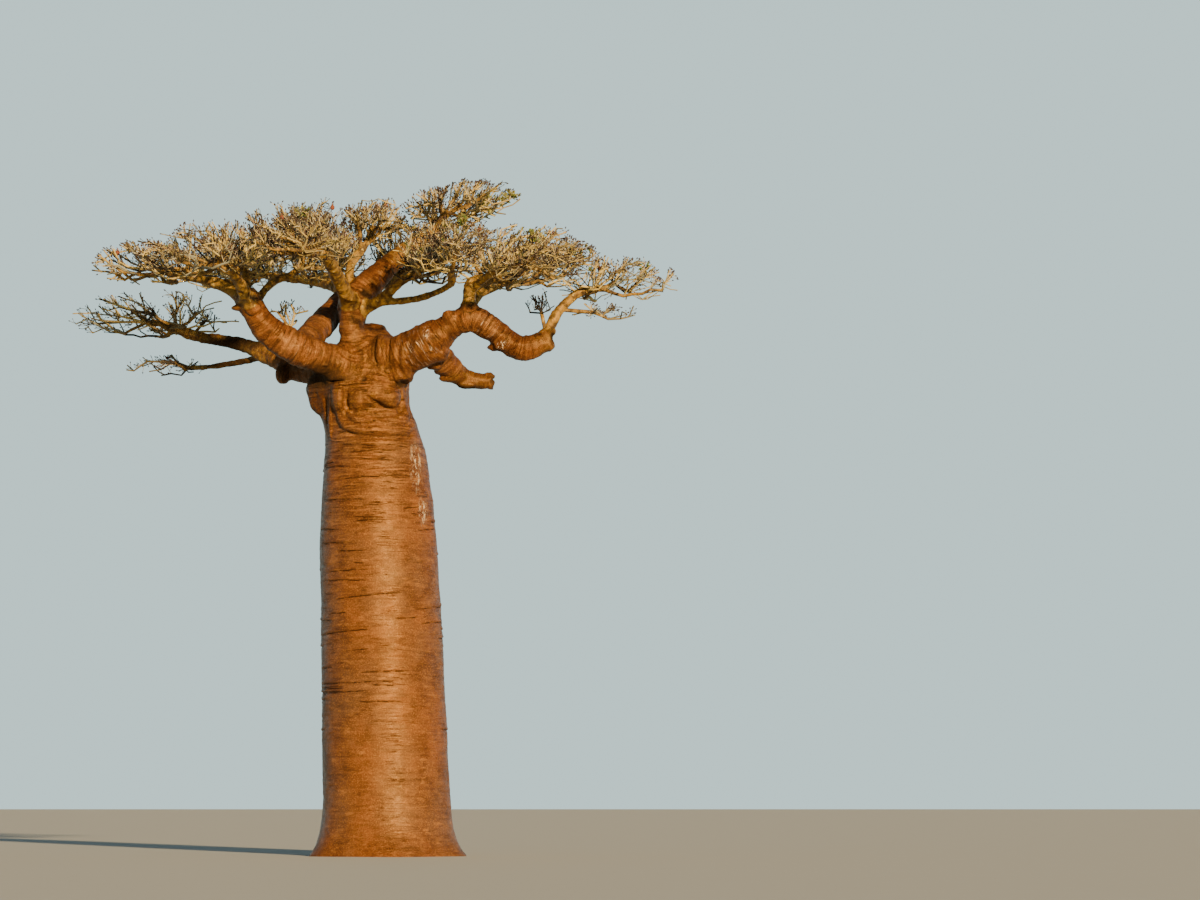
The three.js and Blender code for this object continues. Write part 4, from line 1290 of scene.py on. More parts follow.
def all_creases():
    """The photo's strong creases and the seeded ones: from and to angle, heights, depth."""
    rows = [(*crease, CREASE_DEPTH) for crease in CREASES]
    chance = np.random.default_rng(CREASE_SEED)
    for number, angles, widths, levels, power, most_lean, depths in CREASE_SETS:
        for _ in range(number):
            middle = chance.uniform(*angles)
            width = chance.uniform(*widths)
            height = CREASE_TOP * chance.uniform(*levels) ** power
            lean = chance.normal(0, most_lean)
            depth = chance.uniform(*depths) if depths else CREASE_DEPTH
            rows.append((middle - width, middle + width, height - lean, height + lean, depth))
    return rows


def away_in_depths(above, depth):
    """How far points lie from a crease, counted in the crease's own depth."""
    return np.abs(above) / np.maximum(depth, 1e-4)


def crease_relief(points):
    """The relief of the trunk's creases, and for the painted shade in them the height over the nearest
    crease and that crease's depth."""
    degrees = np.degrees(trunk_angle(points))
    relief = np.zeros(len(points))
    over = np.full(len(points), 1.0)
    depth = np.zeros(len(points))
    wave = laid_waves(points, CREASE_WAVES)
    for start, end, first, last, deep in all_creases():
        low, high = min(first, last) - CREASE_REACH, max(first, last) + CREASE_REACH
        near = np.flatnonzero((points[:, 2] > low) & (points[:, 2] < high))
        across = (degrees[near] - start) % 360 / ((end - start) % 360)
        near, across = near[across < 1], across[across < 1]
        fade = np.clip(4 * across * (1 - across) * CREASE_FADE, 0, 1) ** CREASE_FADE_POWER
        above = points[near, 2] - (first + (last - first) * across) - wave[near]
        groove = -np.exp(-((above / CREASE_BAND) ** 2))
        lip = LIP_SHARE * np.exp(-(((above - LIP_BAND) / LIP_BAND) ** 2))
        cut = deep * fade
        relief[near] += cut * (groove + lip)
        closer = away_in_depths(above, cut) < away_in_depths(over[near], depth[near])
        over[near[closer]] = above[closer]
        depth[near[closer]] = cut[closer]
    return relief, over, depth


def furrows(bands, width):
    """1 where bands of noise pass zero, falling off on both sides."""
    return np.exp(-((bands / width) ** 2))


def bark_relief(points, nearest, along):
    """How far the bark stands out at each point, and what its colour needs to know."""
    on_limb = nearest >= 0
    radii = np.array([line[:, 3].mean() for line in SKIN_LINES.values()])
    thick = np.where(on_limb, radii[nearest], 1.0)
    shaft = np.clip((SHAFT_TOP - points[:, 2]) / HEAD_FADE, 0, 1) * ~on_limb
    head = np.clip((points[:, 2] - HEAD_FOOT) / HEAD_FADE, 0, 1) * np.clip(thick / HEAD_THICK, 0, 1)
    size = np.clip(thick / RING_THICK, LEAST_RELIEF, 1) * on_limb
    slim = np.clip((SLIM_THICK - thick) / SLIM_FADE, 0, 1)

    crease, over, depth = crease_relief(points)
    bands = layered_noise(points, *BANDS)
    furrow = furrows(bands, BAND_FURROW)
    columns = [along * RINGS_ALONG, points[:, 0] * RINGS_ACROSS + nearest, points[:, 2] * RINGS_ACROSS]
    rings = layered_noise(np.stack(columns, axis=1), *RINGS)
    ring_furrow = furrows(rings, RING_FURROW)
    lumps = layered_noise(points, *LUMPS)
    grain = layered_noise(points, *GRAIN)

    broad = laid_waves(points, BROAD_WAVES)
    relief = shaft * (crease + broad + BAND_HEIGHT * bands - BAND_FURROW_DEPTH * furrow)
    relief += head * (HEAD_LUMP * lumps + HEAD_GRAIN * grain)
    ringed = RING_HEIGHT * rings - RING_FURROW_DEPTH * ring_furrow
    relief += size * (ringed + (LIMB_LUMP + SLIM_LUMP * slim) * lumps)
    relief += slim * on_limb * SLIM_GRAIN * grain
    # Painted shade: how dark the colour is laid in the furrows, the limbs' ring furrows and the head's
    # pits
    groove = np.where(on_limb, ring_furrow * size, furrow * shaft * SHAFT_GROOVE_SHADE)
    groove = np.maximum(groove, head * np.clip(PIT_SHADE_CONTRAST * (-grain) - PIT_SHADE_LEVEL, 0, 1))
    return relief, {"over": over, "crease": depth / CREASE_DEPTH * shaft, "groove": groove}


def ring_place(points, nearest, along, edges):
    """What the bark's rings follow: the height on the trunk, and the way along on a limb."""
    feet = np.array([line[0, 2] for line in SKIN_LINES.values()])
    place = np.where(nearest >= 0, along + feet[nearest], points[:, 2])
    return relaxed(place[:, None], edges, RING_EASING)[:, 0]


def area_share(points, areas):
    """1 in the middle of each of some areas, and 0 outside them."""
    share = np.zeros(len(points))
    for centre, half in areas:
        away = np.linalg.norm((points - centre) / np.array(half), axis=1)
        share = np.maximum(share, np.clip(AREA_EDGE - AREA_EDGE * away, 0, 1))
    return share


def slender_share(nearest, along):
    """0 on thick boughs and 1 where a limb is slender, growing along each limb."""
    share = np.zeros(len(nearest))
    for index, (name, line) in enumerate(SKIN_LINES.items()):
        own = nearest == index
        places = np.concatenate([[0], np.cumsum(np.linalg.norm(np.diff(line[:, :3], axis=0), axis=1))])
        radius = np.interp(along[own], places, line[:, 3])
        share[own] = np.clip((SLENDER_RADIUS - radius) / SLENDER_FADE, 0, OCHRE_MOST.get(name, 1))
    return share


def vertex_normals(points, quads):
    """Directions out of a mesh of quads, weighted by the faces' areas."""
    first, second, third, fourth = points[quads].transpose(1, 0, 2)
    faces = np.cross(third - first, fourth - second)
    total = np.stack([
        np.bincount(quads.ravel(), weights=np.repeat(column, 4), minlength=len(points))
        for column in faces.T
    ], axis=1)
    return total / np.maximum(np.linalg.norm(total, axis=1), 1e-12)[:, None]


def skin_mesh(name, points, quads, base, normals, facts):
    """A part of the skin as a mesh of its own, with the whole skin's normals."""
    used = np.unique(quads)
    place = np.full(len(points), -1)
    place[used] = np.arange(len(used))
    faces = [place[quads]]
    if base is not None:
        faces.append(place[base][None])
    mesh = mesh_of(name, points[used], *faces)
    for fact, values in facts.items():
        attribute = mesh.attributes.new(fact, "FLOAT", "POINT")
        attribute.data.foreach_set("value", values[used].astype(np.float32))
    mesh.normals_split_custom_set_from_vertices(normals[used].tolist())
    return mesh


def skin_parts(points, quads, nearest):
    """For each piece of the bark its name, its quads, a slot name that nothing uses, and the nodes that
    it stands for.
    """
    middle = points[quads].mean(axis=1)
    on_trunk_only = np.max(nearest[quads], axis=1) < 0
    low = middle[:, 2] < FOOT_TOP
    shaft = ~low & on_trunk_only
    left = ~low & ~shaft & (middle[:, 0] < LEFT_EDGE)
    right = ~low & ~shaft & ~left
    left_nodes = [name for name, line in SKIN_LINES.items() if np.mean(line[:, 0]) < LEFT_EDGE]
    right_nodes = [name for name in SKIN_LINES if name not in left_nodes]
    right_nodes += [extra for name in right_nodes for extra in SPLIT_NODES.get(name, [])]
    return [
        ("bark_foot", low, "trunk_bark", ["trunk"]),
        ("bark_shaft_and_head", shaft, "trunk_bark", ["trunk"]),
        ("bark_left_boughs", left, "bough_bark", left_nodes),
        ("bark_right_boughs", right, "bough_bark", right_nodes),
    ]


def bottom_face(points, quads):
    """The corners of one face that closes the skin on the ground."""
    foot = np.unique(quads[points[quads, 2] == 0])
    return foot[np.argsort(-np.arctan2(points[foot, 1], points[foot, 0]))]


def make_skin(material):
    """The bark over the trunk and limbs, in pieces small enough to keep."""
    points, quads = rough_skin()
    edges = edges_of(quads)
    points, outward, nearest, along = settled(points, edges, quads)
    relief, facts = bark_relief(points, nearest, along)
    points = points + relief[:, None] * outward
    for name, areas in BARK_AREAS.items():
        facts[name] = area_share(points, areas)
    facts["ring_place"] = ring_place(points, nearest, along, edges)
    facts["slender"] = slender_share(nearest, along)
    points[:, 2] = np.where(points[:, 2] < VOXEL / 2, 0, points[:, 2])
    quads = quads[points[quads, 2].max(axis=1) > 0]
    normals = vertex_normals(points, quads)
    base = bottom_face(points, quads)
    for name, chosen, slot, nodes in skin_parts(points, quads, nearest):
        bottom = base if name == "bark_foot" else None
        mesh = skin_mesh(name, points, quads[chosen], bottom, normals, facts)
        piece_of(mesh, [material], nodes)


# Growth of the twigs

# The masses' spaces, as arrays for work on all of them at once
CENTRES = np.array([mass["centre"] for mass in MASSES.values()])
HALVES = np.array([mass["half"] for mass in MASSES.values()])
SLOPES = np.array([mass["slope"] for mass in MASSES.values()])
ORDER = {name: index for index, name in enumerate(MASSES)}


def depths_in(points):
    """How far out in each mass's space points lie: 0 at its centre and 1 on its skin."""
    away = points[:, None] - CENTRES
    rise = away[..., 2] - np.sum(away[..., :2] * SLOPES, axis=2)
    tall = np.where(rise < 0, HALVES[:, 2] * BOWL_SHARE, HALVES[:, 2])
    flat = (away[..., 0] / HALVES[:, 0]) ** 2 + (away[..., 1] / HALVES[:, 1]) ** 2
    return np.sqrt(flat + (rise / tall) ** 2)


def is_own(index, points, border):
    """Whether points lie in a mass's space, and deeper in it than in any other."""
    depths = depths_in(points)
    own = depths[:, index]
    others = np.delete(depths, index, axis=1).min(axis=1)
    return (own <= 1) & (own + border < others)


def place_in(mass, unit):
    """The points of a mass's space that stand for points of the unit ball."""
    centre, half, slope = np.array(mass["centre"]), mass["half"], mass["slope"]
    tall = np.where(unit[:, 2] < 0, half[2] * BOWL_SHARE, half[2])
    flat = unit[:, :2] * half[:2]
    rise = unit[:, 2] * tall + flat[:, 0] * slope[0] + flat[:, 1] * slope[1]
    return centre + np.column_stack([flat, rise])


def rim_points(mass, count, reach):
    order = np.arange(count)
    up = 1 - 2 * (order + 0.5) / count
    angle = order * GOLDEN_ANGLE + mass["seed"]
    flat = np.sqrt(1 - up * up) * reach
    return place_in(mass, np.column_stack([flat * np.cos(angle), flat * np.sin(angle), up * reach]))


def inner_units(seed, count):
    """Evenly spread points of the unit ball, from the source's own sequence."""
    order = np.arange(1, TRIES_EACH * count + SPARE_TRIES)[:, None]
    unit = 2 * ((order * SPREAD + seed * SEED_STEP) % 1) - 1
    return unit[np.linalg.norm(unit, axis=1) <= 1][:count]


def growth_cost(start, ends):
    """What it costs to grow between points: rising is cheap and hanging is dear."""
    away = ends - start
    rise = away[..., 2]
    upright = rise * np.where(rise > 0, RISE_COST, FALL_COST)
    return np.sqrt(away[..., 0] ** 2 + away[..., 1] ** 2 + upright**2)


class Growth:
    """The branching of one mass: its points, what each grows from, and the way back to the foot."""

    def __init__(self, name, obstacles):
        self.mass = MASSES[name]
        self.index = ORDER[name]
        self.starts, self.runs, self.reach = obstacles
        self.points = np.empty((MOST_POINTS, 3))
        self.ways = np.zeros((MOST_POINTS, 3))
        self.paths = np.zeros(MOST_POINTS)
        self.parents = [-1]
        self.points[0] = STEMS[name][0, :3]
        self.add(STEMS[name][1, :3], 0)

    def add(self, point, parent):
        count = len(self.parents)
        step = point - self.points[parent]
        length = math.sqrt(step.dot(step))
        self.points[count] = point
        self.ways[count] = step / length
        self.paths[count] = self.paths[parent] + length
        self.parents.append(parent)

    def is_clear(self, start, end, border, clearance):
        steps = np.arange(1, TWIG_CHECKS + 1)[:, None] / TWIG_CHECKS
        along = start + (end - start) * steps
        if not is_own(self.index, along, border).all():
            return False
        distance = along_segments(along, self.starts, self.runs)[1]
        return bool(np.all(distance - self.reach >= clearance))

    def grow_to(self, targets, path_weight, turn_weight, border, clearance):
        """Joins each point, nearest the foot first, to whichever point costs least."""
        costs = growth_cost(self.points[0], targets)
        for target in targets[np.argsort(costs, kind="stable")]:
            count = len(self.parents)
            away = target - self.points[1:count]
            straight = np.sum(away * self.ways[1:count], axis=1)
            turn = np.linalg.norm(away, axis=1) - straight
            cost = growth_cost(self.points[1:count], target) + path_weight * self.paths[1:count]
            best = int(np.argmin(cost + turn_weight * turn)) + 1
            if self.is_clear(self.points[best], target, border, clearance):
                self.add(target, best)

    def step_up(self, chance):
        """Sets swaying points along each long twig, for finer twigs to grow from."""
        count = len(self.parents)
        old_points, old_parents = self.points[:count].copy(), list(self.parents)
        self.parents = [-1]
        moved = {0: 0}
        for i in range(1, count):
            start, end = old_points[old_parents[i]], old_points[i]
            last = moved[old_parents[i]]
            steps = max(1, round(np.linalg.norm(end - start) / STEP_LENGTH))
            for k in range(1, steps):
                sway = chance.normal(0, STEP_SWAY * STEP_LENGTH, 3) if i > 1 else 0
                self.add(start + (end - start) * k / steps + sway, last)
                last = len(self.parents) - 1
            self.add(end, last)
            moved[i] = len(self.parents) - 1


def obstacles_for(name):
    """Every limb and every other mass's stem, as stretches with the larger of their end radii."""
    lines = [*GROWTH_LINES.values(), *(stem for other, stem in STEMS.items() if other != name)]
    starts, runs, first, last = segments_of(lines)
    reach = np.maximum(first, last)
    centre, half = CENTRES[ORDER[name]], HALVES[ORDER[name]]
    low, high = np.minimum(starts, starts + runs), np.maximum(starts, starts + runs)
    margin = reach[:, None] + 1
    near = np.all((low - margin < centre + half) & (high + margin > centre - half), axis=1)
    return starts[near], runs[near], reach[near]


def own_volume(mass):
    half = mass["half"]
    return 2 / 3 * math.pi * half[0] * half[1] * half[2] * (1 + BOWL_SHARE)


def lumpy_reach(points, seed):
    """How deep in a mass's space its twigs reach near points: sprays stand out, with gaps between."""
    share = np.clip(0.5 + REACH_CONTRAST * noise(points, REACH_SCALE, seed), 0, 1)
    return REACH_LEAST + (1 - REACH_LEAST) * share


def fine_targets(mass, chance):
    """Many points of a mass's space, more of them near its skin than in its heart."""
    share = SPARSE_SHARE if mass["sparse"] else mass["kept"]
    count = round(FINE_DENSITY * own_volume(mass) * share)
    unit = inner_units(mass["seed"], count)[INNER_TWIGS:]
    unit = unit + chance.normal(0, FINE_SCATTER / np.array(mass["half"]), unit.shape)
    size = np.linalg.norm(unit, axis=1)
    unit = unit / np.maximum(size / FINE_REACH, 1)[:, None]
    chosen = chance.uniform(size=len(unit)) < FINE_HEART + (1 - FINE_HEART) * np.minimum(size, 1) ** 2
    points = place_in(mass, unit[chosen])
    kept = np.linalg.norm(unit[chosen], axis=1) <= lumpy_reach(points, mass["seed"])
    kept &= ~is_under(mass, points) | (chance.uniform(size=len(points)) < FINE_UNDER)
    return points[kept]


def grown(name):
    """The whole branching of a mass: first as the solid has it, then carried to finer twigs."""
    mass = MASSES[name]
    index = ORDER[name]
    chance = np.random.default_rng(mass["seed"])
    growth = Growth(name, obstacles_for(name))
    share = SPARSE_SHARE if mass["sparse"] else 1
    rim = rim_points(mass, round(RIM_TWIGS * share), RIM_REACH)
    inner = place_in(mass, inner_units(mass["seed"], round(INNER_TWIGS * share)))
    coarse = np.vstack([rim, inner])
    coarse = coarse[is_own(index, coarse, BORDER)]
    growth.grow_to(coarse, PATH_WEIGHT, 0, BORDER, LIMB_CLEARANCE + LEAST_RADIUS)
    growth.step_up(chance)
    fine = fine_targets(mass, chance)
    fine = fine[is_own(index, fine, FINE_BORDER)]
    growth.grow_to(fine, FINE_PATH_WEIGHT, FINE_TURN_WEIGHT, FINE_BORDER, FINE_CLEARANCE + FINE_RADIUS)
    return growth


# Twigs as meshes

def sides_for(radius):
    return next(sides for least, sides in TWIG_SIDES if radius >= least)


def twig_chains(growth):
    """The lines of a mass's twigs, each running on through its thickest child to an end, and the
    radius at each point."""
    parents = growth.parents
    children = [[] for _ in parents]
    for i, parent in enumerate(parents[1:], start=1):
        children[parent].append(i)
    ends = [0] * len(parents)
    for i in range(len(parents) - 1, -1, -1):
        ends[i] = max(1, sum(ends[c] for c in children[i]))
    taper = (np.array(ends) / ends[0]) ** (1 / FINE_TAPER_POWER)
    chains = []
    starts = [(0, [])]
    while starts:
        i, chain = starts.pop()
        chain = [*chain, i]
        while children[i]:
            heir = max(children[i], key=lambda c: ends[c])
            starts.extend((c, [i]) for c in children[i] if c != heir)
            chain.append(heir)
            i = heir
        chains.append(chain)
    return chains, np.maximum(FINE_RADIUS, growth.mass["stem"] * taper)


def is_under(mass, points):
    """Which points are in the lower part of a mass, where bare limbs show."""
    away = points - mass["centre"]
    level = away[:, 2] - away[:, 0] * mass["slope"][0] - away[:, 1] * mass["slope"][1]
    return level < UNDER_LEVEL * mass["half"][2]


def spray_kinds(growth, name, chance):
    """A twig kind for each point: twigs that part from the same thick twig share one kind."""
    # Painted shade: the masses in the shade get more dark and brown twigs
    outer = SHADED_SHARES if name in DARK_MASSES else BRIGHT_SHARES
    depths = depths_in(growth.points[:len(growth.parents)])[:, growth.index]
    low = is_under(growth.mass, growth.points)
    kinds = np.zeros(len(growth.parents), int)
    spray = np.zeros(len(growth.parents), int)
    for i, parent in enumerate(growth.parents[1:], start=1):
        stretch = growth.paths[i] - growth.paths[spray[parent]]
        spray[i] = spray[parent] if parent and stretch < SPRAY_LENGTH else i
        if spray[i] == i:
            # Painted shade: sprays deep in a mass or in its lower part get more dark and brown twigs
            shares = UNDER_SHADE_SHARES if depths[i] < UNDER_DEPTH or low[i] else outer
            kinds[i] = chance.choice(len(shares), p=shares)
        kinds[i] = kinds[spray[i]]
    return kinds


def directions(ways):
    """The same ways, each of length one."""
    return ways / np.maximum(np.linalg.norm(ways, axis=-1, keepdims=True), 1e-9)


def rings_round(ways, sides):
    """For each way, the points of a ring of radius one across it."""
    steady = np.where(np.abs(ways[:, 2:]) < STEEP, UPWARD, SIDEWAYS)
    across = directions(np.cross(ways, steady))
    up = np.cross(ways, across)
    turn = (np.arange(sides) / sides * 2 * math.pi)[None, :, None]
    return np.cos(turn) * across[:, None] + np.sin(turn) * up[:, None]


def repeated(faces, corners, number):
    """The same faces for a number of like shapes, each with its own corners."""
    return (faces[None] + corners * np.arange(number)[:, None, None]).reshape(-1, faces.shape[1])


def sprig_meshes(joints, radii):
    """Thin tubes through the joints of many sprigs at once."""
    number, rings = joints.shape[:2]
    circle = rings_round(directions(joints[:, -1] - joints[:, 0]), SPRIG_SIDES)
    points = joints[:, :, None] + np.array(radii)[None, :, None, None] * circle[:, None]
    return points.reshape(-1, 3), repeated(ring_faces(rings, SPRIG_SIDES), rings * SPRIG_SIDES, number)


def bud_meshes(ends, ways, sizes):
    """Oval buds that stand on many twig ends at once."""
    circle = rings_round(ways, BUD_SIDES)
    reach = (ways * sizes[:, None] * BUD_LENGTH)[:, None]
    belly = ends[:, None] + BUD_BELLY * reach + circle * BUD_RADIUS * sizes[:, None, None]
    points = np.concatenate([belly, ends[:, None] - BUD_SUNK * reach, ends[:, None] + reach], axis=1)
    spin = np.arange(BUD_SIDES)
    lower = np.stack([(spin + 1) % BUD_SIDES, spin, np.full(BUD_SIDES, BUD_SIDES)], axis=1)
    upper = np.stack([spin, (spin + 1) % BUD_SIDES, np.full(BUD_SIDES, BUD_SIDES + 1)], axis=1)
    return points.reshape(-1, 3), repeated(np.vstack([lower, upper]), BUD_SIDES + 2, len(ends))


def sprig_carriers(growth, radii, chance):
    """The points of the growth that sprigs stand on, once for each sprig."""
    thin = (radii < SPRIG_MOST_RADIUS) & (np.arange(len(radii)) > 1)
    carriers = np.repeat(np.flatnonzero(thin), SPRIGS_EACH)
    share = np.where(is_under(growth.mass, growth.points[carriers]), UNDER_SPRIGS, SPRIG_SHARE)
    return carriers[chance.uniform(size=len(carriers)) < share * growth.mass["kept"] ** 0.5]


def sprig_joints(growth, carriers, chance):
    """The joints of each sprig, from its foot on the twig before its carrier to its end."""
    number = len(carriers)
    before = growth.points[np.array(growth.parents)[carriers]]
    feet = growth.points[carriers]
    feet = feet + (before - feet) * chance.uniform(0, SPRIG_FEET, (number, 1))
    outward = directions(feet - growth.points[1])
    way = SPRIG_ONWARD * growth.ways[carriers] + SPRIG_OUTWARD * outward
    way = directions(way + (0, 0, SPRIG_UPWARD) + chance.normal(0, SPRIG_SCATTER, (number, 3)))
    joints = [feet]
    for _ in SPRIG_RADII[1:]:
        joints.append(joints[-1] + way * chance.uniform(*SPRIG_LENGTHS, (number, 1)))
        way = directions(way + chance.normal(0, SPRIG_BEND, (number, 3)) + (0, 0, SPRIG_RISE))
    return np.stack(joints, axis=1)


def grow_sprigs(growth, radii, chance):
    """The joints of the sprigs of a mass, and the point of the growth that each stands on."""
    carriers = sprig_carriers(growth, radii, chance)
    joints = sprig_joints(growth, carriers, chance)
    ends = joints[:, -1]
    inside = is_own(growth.index, ends, SPRIG_BORDER)
    inside &= depths_in(ends)[:, growth.index] <= lumpy_reach(ends, growth.mass["seed"]) + SPRIG_BEYOND
    gaps = along_segments(ends, growth.starts, growth.runs)[1] - growth.reach
    inside &= gaps.min(axis=1) > FINE_CLEARANCE
    return joints[inside], carriers[inside]


def end_kinds(kinds, name, chance):
    """The kinds of twig ends: many turn pale or rosy, fewer of them in a mass given painted shade."""
    luck = chance.uniform(size=len(kinds))
    scale = DARK_PALE_SHARE if name in DARK_MASSES else 1
    names = list(TWIG_KINDS)
    ends = np.where(luck < PALE_ENDS * scale, names.index("pale"), kinds)
    return np.where(luck > 1 - ROSE_ENDS * scale, names.index("rose"), ends)


def add_chains(growth, chains, radii, kinds, twigs, branches):
    """Adds tubes round a mass's twigs, the thick part of each to the branches."""
    for chain in chains:
        line = growth.points[chain]
        own = radii[chain].copy()
        own[0] = own[1]
        thick = int(np.sum(own >= BRANCH_RADIUS))
        if thick >= 2:
            branches.add(*tube(line[:thick + 1], own[:thick + 1], sides_for(own[0])))
            line, own, chain = line[thick - 1:], own[thick - 1:], chain[thick - 1:]
        if len(line) >= 2:
            twigs.add(*tube(line, own, sides_for(own[0])), kinds[chain[1]])


def add_mass(name, twigs, branches, buds):
    """Adds a mass's twigs, thick branches and buds to their piles, and returns its twig ends."""
    growth = grown(name)
    chance = np.random.default_rng(GROWN_SEEDS + growth.mass["seed"])
    chains, radii = twig_chains(growth)
    kinds = spray_kinds(growth, name, chance)
    add_chains(growth, chains, radii, kinds, twigs, branches)
    joints, carriers = grow_sprigs(growth, radii, chance)
    colours = end_kinds(kinds[carriers], name, chance)
    for kind in range(len(TWIG_KINDS)):
        if np.any(colours == kind):
            twigs.add(*sprig_meshes(joints[colours == kind], SPRIG_RADII), kind)
    ends = joints[:, -1]
    ways = directions(ends - joints[:, -2])
    budded = chance.uniform(size=len(ends)) < BUD_SHARE
    sizes = chance.uniform(*BUD_SIZES, budded.sum())
    buds.add(*bud_meshes(ends[budded], ways[budded], sizes))
    return ends, ways


# Groups of masses that share a piece
TWIG_GROUPS = {
    "left_twigs": [
        "left_top_outer", "left_top_inner", "front_left", "left_lower", "left_lowest", "back_clump",
    ],
    "centre_twigs": ["top_centre_left", "front_centre", "top_centre", "mid_right_inner", "front_right"],
    "right_twigs": [
        "top_right", "right_mid", "far_right", "front_far_right", "riser_clump", "dead_branch",
    ],
    "back_twigs": ["back_left", "back_centre", "back_right", "back_far_right"],
}


def make_twigs(materials):
    """All twigs, branches and buds, each kind apart, and the ends that can carry fruit or leaves."""
    branches, buds = Pile(), Pile()
    ends, ways = [], []
    kinds = [materials[kind] for kind in TWIG_KINDS]
    for piece_name, group in TWIG_GROUPS.items():
        twigs = Pile()
        for name in group:
            some_ends, some_ways = add_mass(name, twigs, branches, buds)
            ends.append(some_ends)
            ways.append(some_ways)
        piece_of(twigs.mesh(piece_name), kinds, [f"{name}_twigs" for name in group])
    piece_of(branches.mesh("branches"), [materials["branch"]], [])
    piece_of(buds.mesh("buds"), [materials["bud"]], [])
    return np.vstack(ends), np.vstack(ways)


# Fruits and leaves

def make_fruits(material, ends):
    """Velvety oval fruits that hang on short stalks from twig ends."""
    ball, ball_faces = unit_ball(FRUIT_DETAIL)
    size = np.array([FRUIT_RADIUS, FRUIT_RADIUS, FRUIT_LENGTH / 2])
    pile = Pile()
    for place in FRUIT_PLACES:
        end = ends[np.argmin(np.linalg.norm(ends - place, axis=1))]
        foot = end - np.array([0, 0, STALK_LENGTH])
        lumps = 1 + FRUIT_LUMP * noise(ball + end, *FRUIT_NOISE)[:, None]
        pile.add(ball * size * lumps + foot - (0, 0, FRUIT_LENGTH / 2), ball_faces)
        stalk = np.array([end + (0, 0, STALK_SUNK), foot - (0, 0, STALK_SUNK)])
        pile.add(*closed_tube(stalk, np.full(2, STALK_RADIUS), STALK_SIDES))
    piece_of(pile.mesh("fruits"), [material], [])


def leaf(foot, way, across):
    """A small leaf, folded a little along its rib."""
    fold = cross(way, across) * LEAF_WIDTH * LEAF_FOLD
    half = across * LEAF_WIDTH / 2
    points = [foot + way * LEAF_LENGTH * on + half * out + fold * up for on, out, up in LEAF_POINTS]
    return np.array(points)


def make_leaves(materials, ends, ways):
    """The few tufts of young leaves that the dry season has left."""
    chance = np.random.default_rng(LEAF_SEED)
    pile = Pile()
    for place in TUFT_PLACES:
        for index in np.argsort(np.linalg.norm(ends - place, axis=1))[:TUFT_ENDS]:
            kind = int(chance.integers(len(materials)))
            for _ in range(TUFT_LEAVES):
                way = ways[index] * LEAF_ALONG + chance.normal(0, LEAF_SCATTER, 3) + (0, 0, LEAF_RISE)
                way /= np.linalg.norm(way)
                across = cross(way, chance.normal(0, 1, 3))
                pile.add(leaf(ends[index], way, across / np.linalg.norm(across)), LEAF_FACES, kind)
    piece_of(pile.mesh("young_leaves"), materials, [])


# Materials

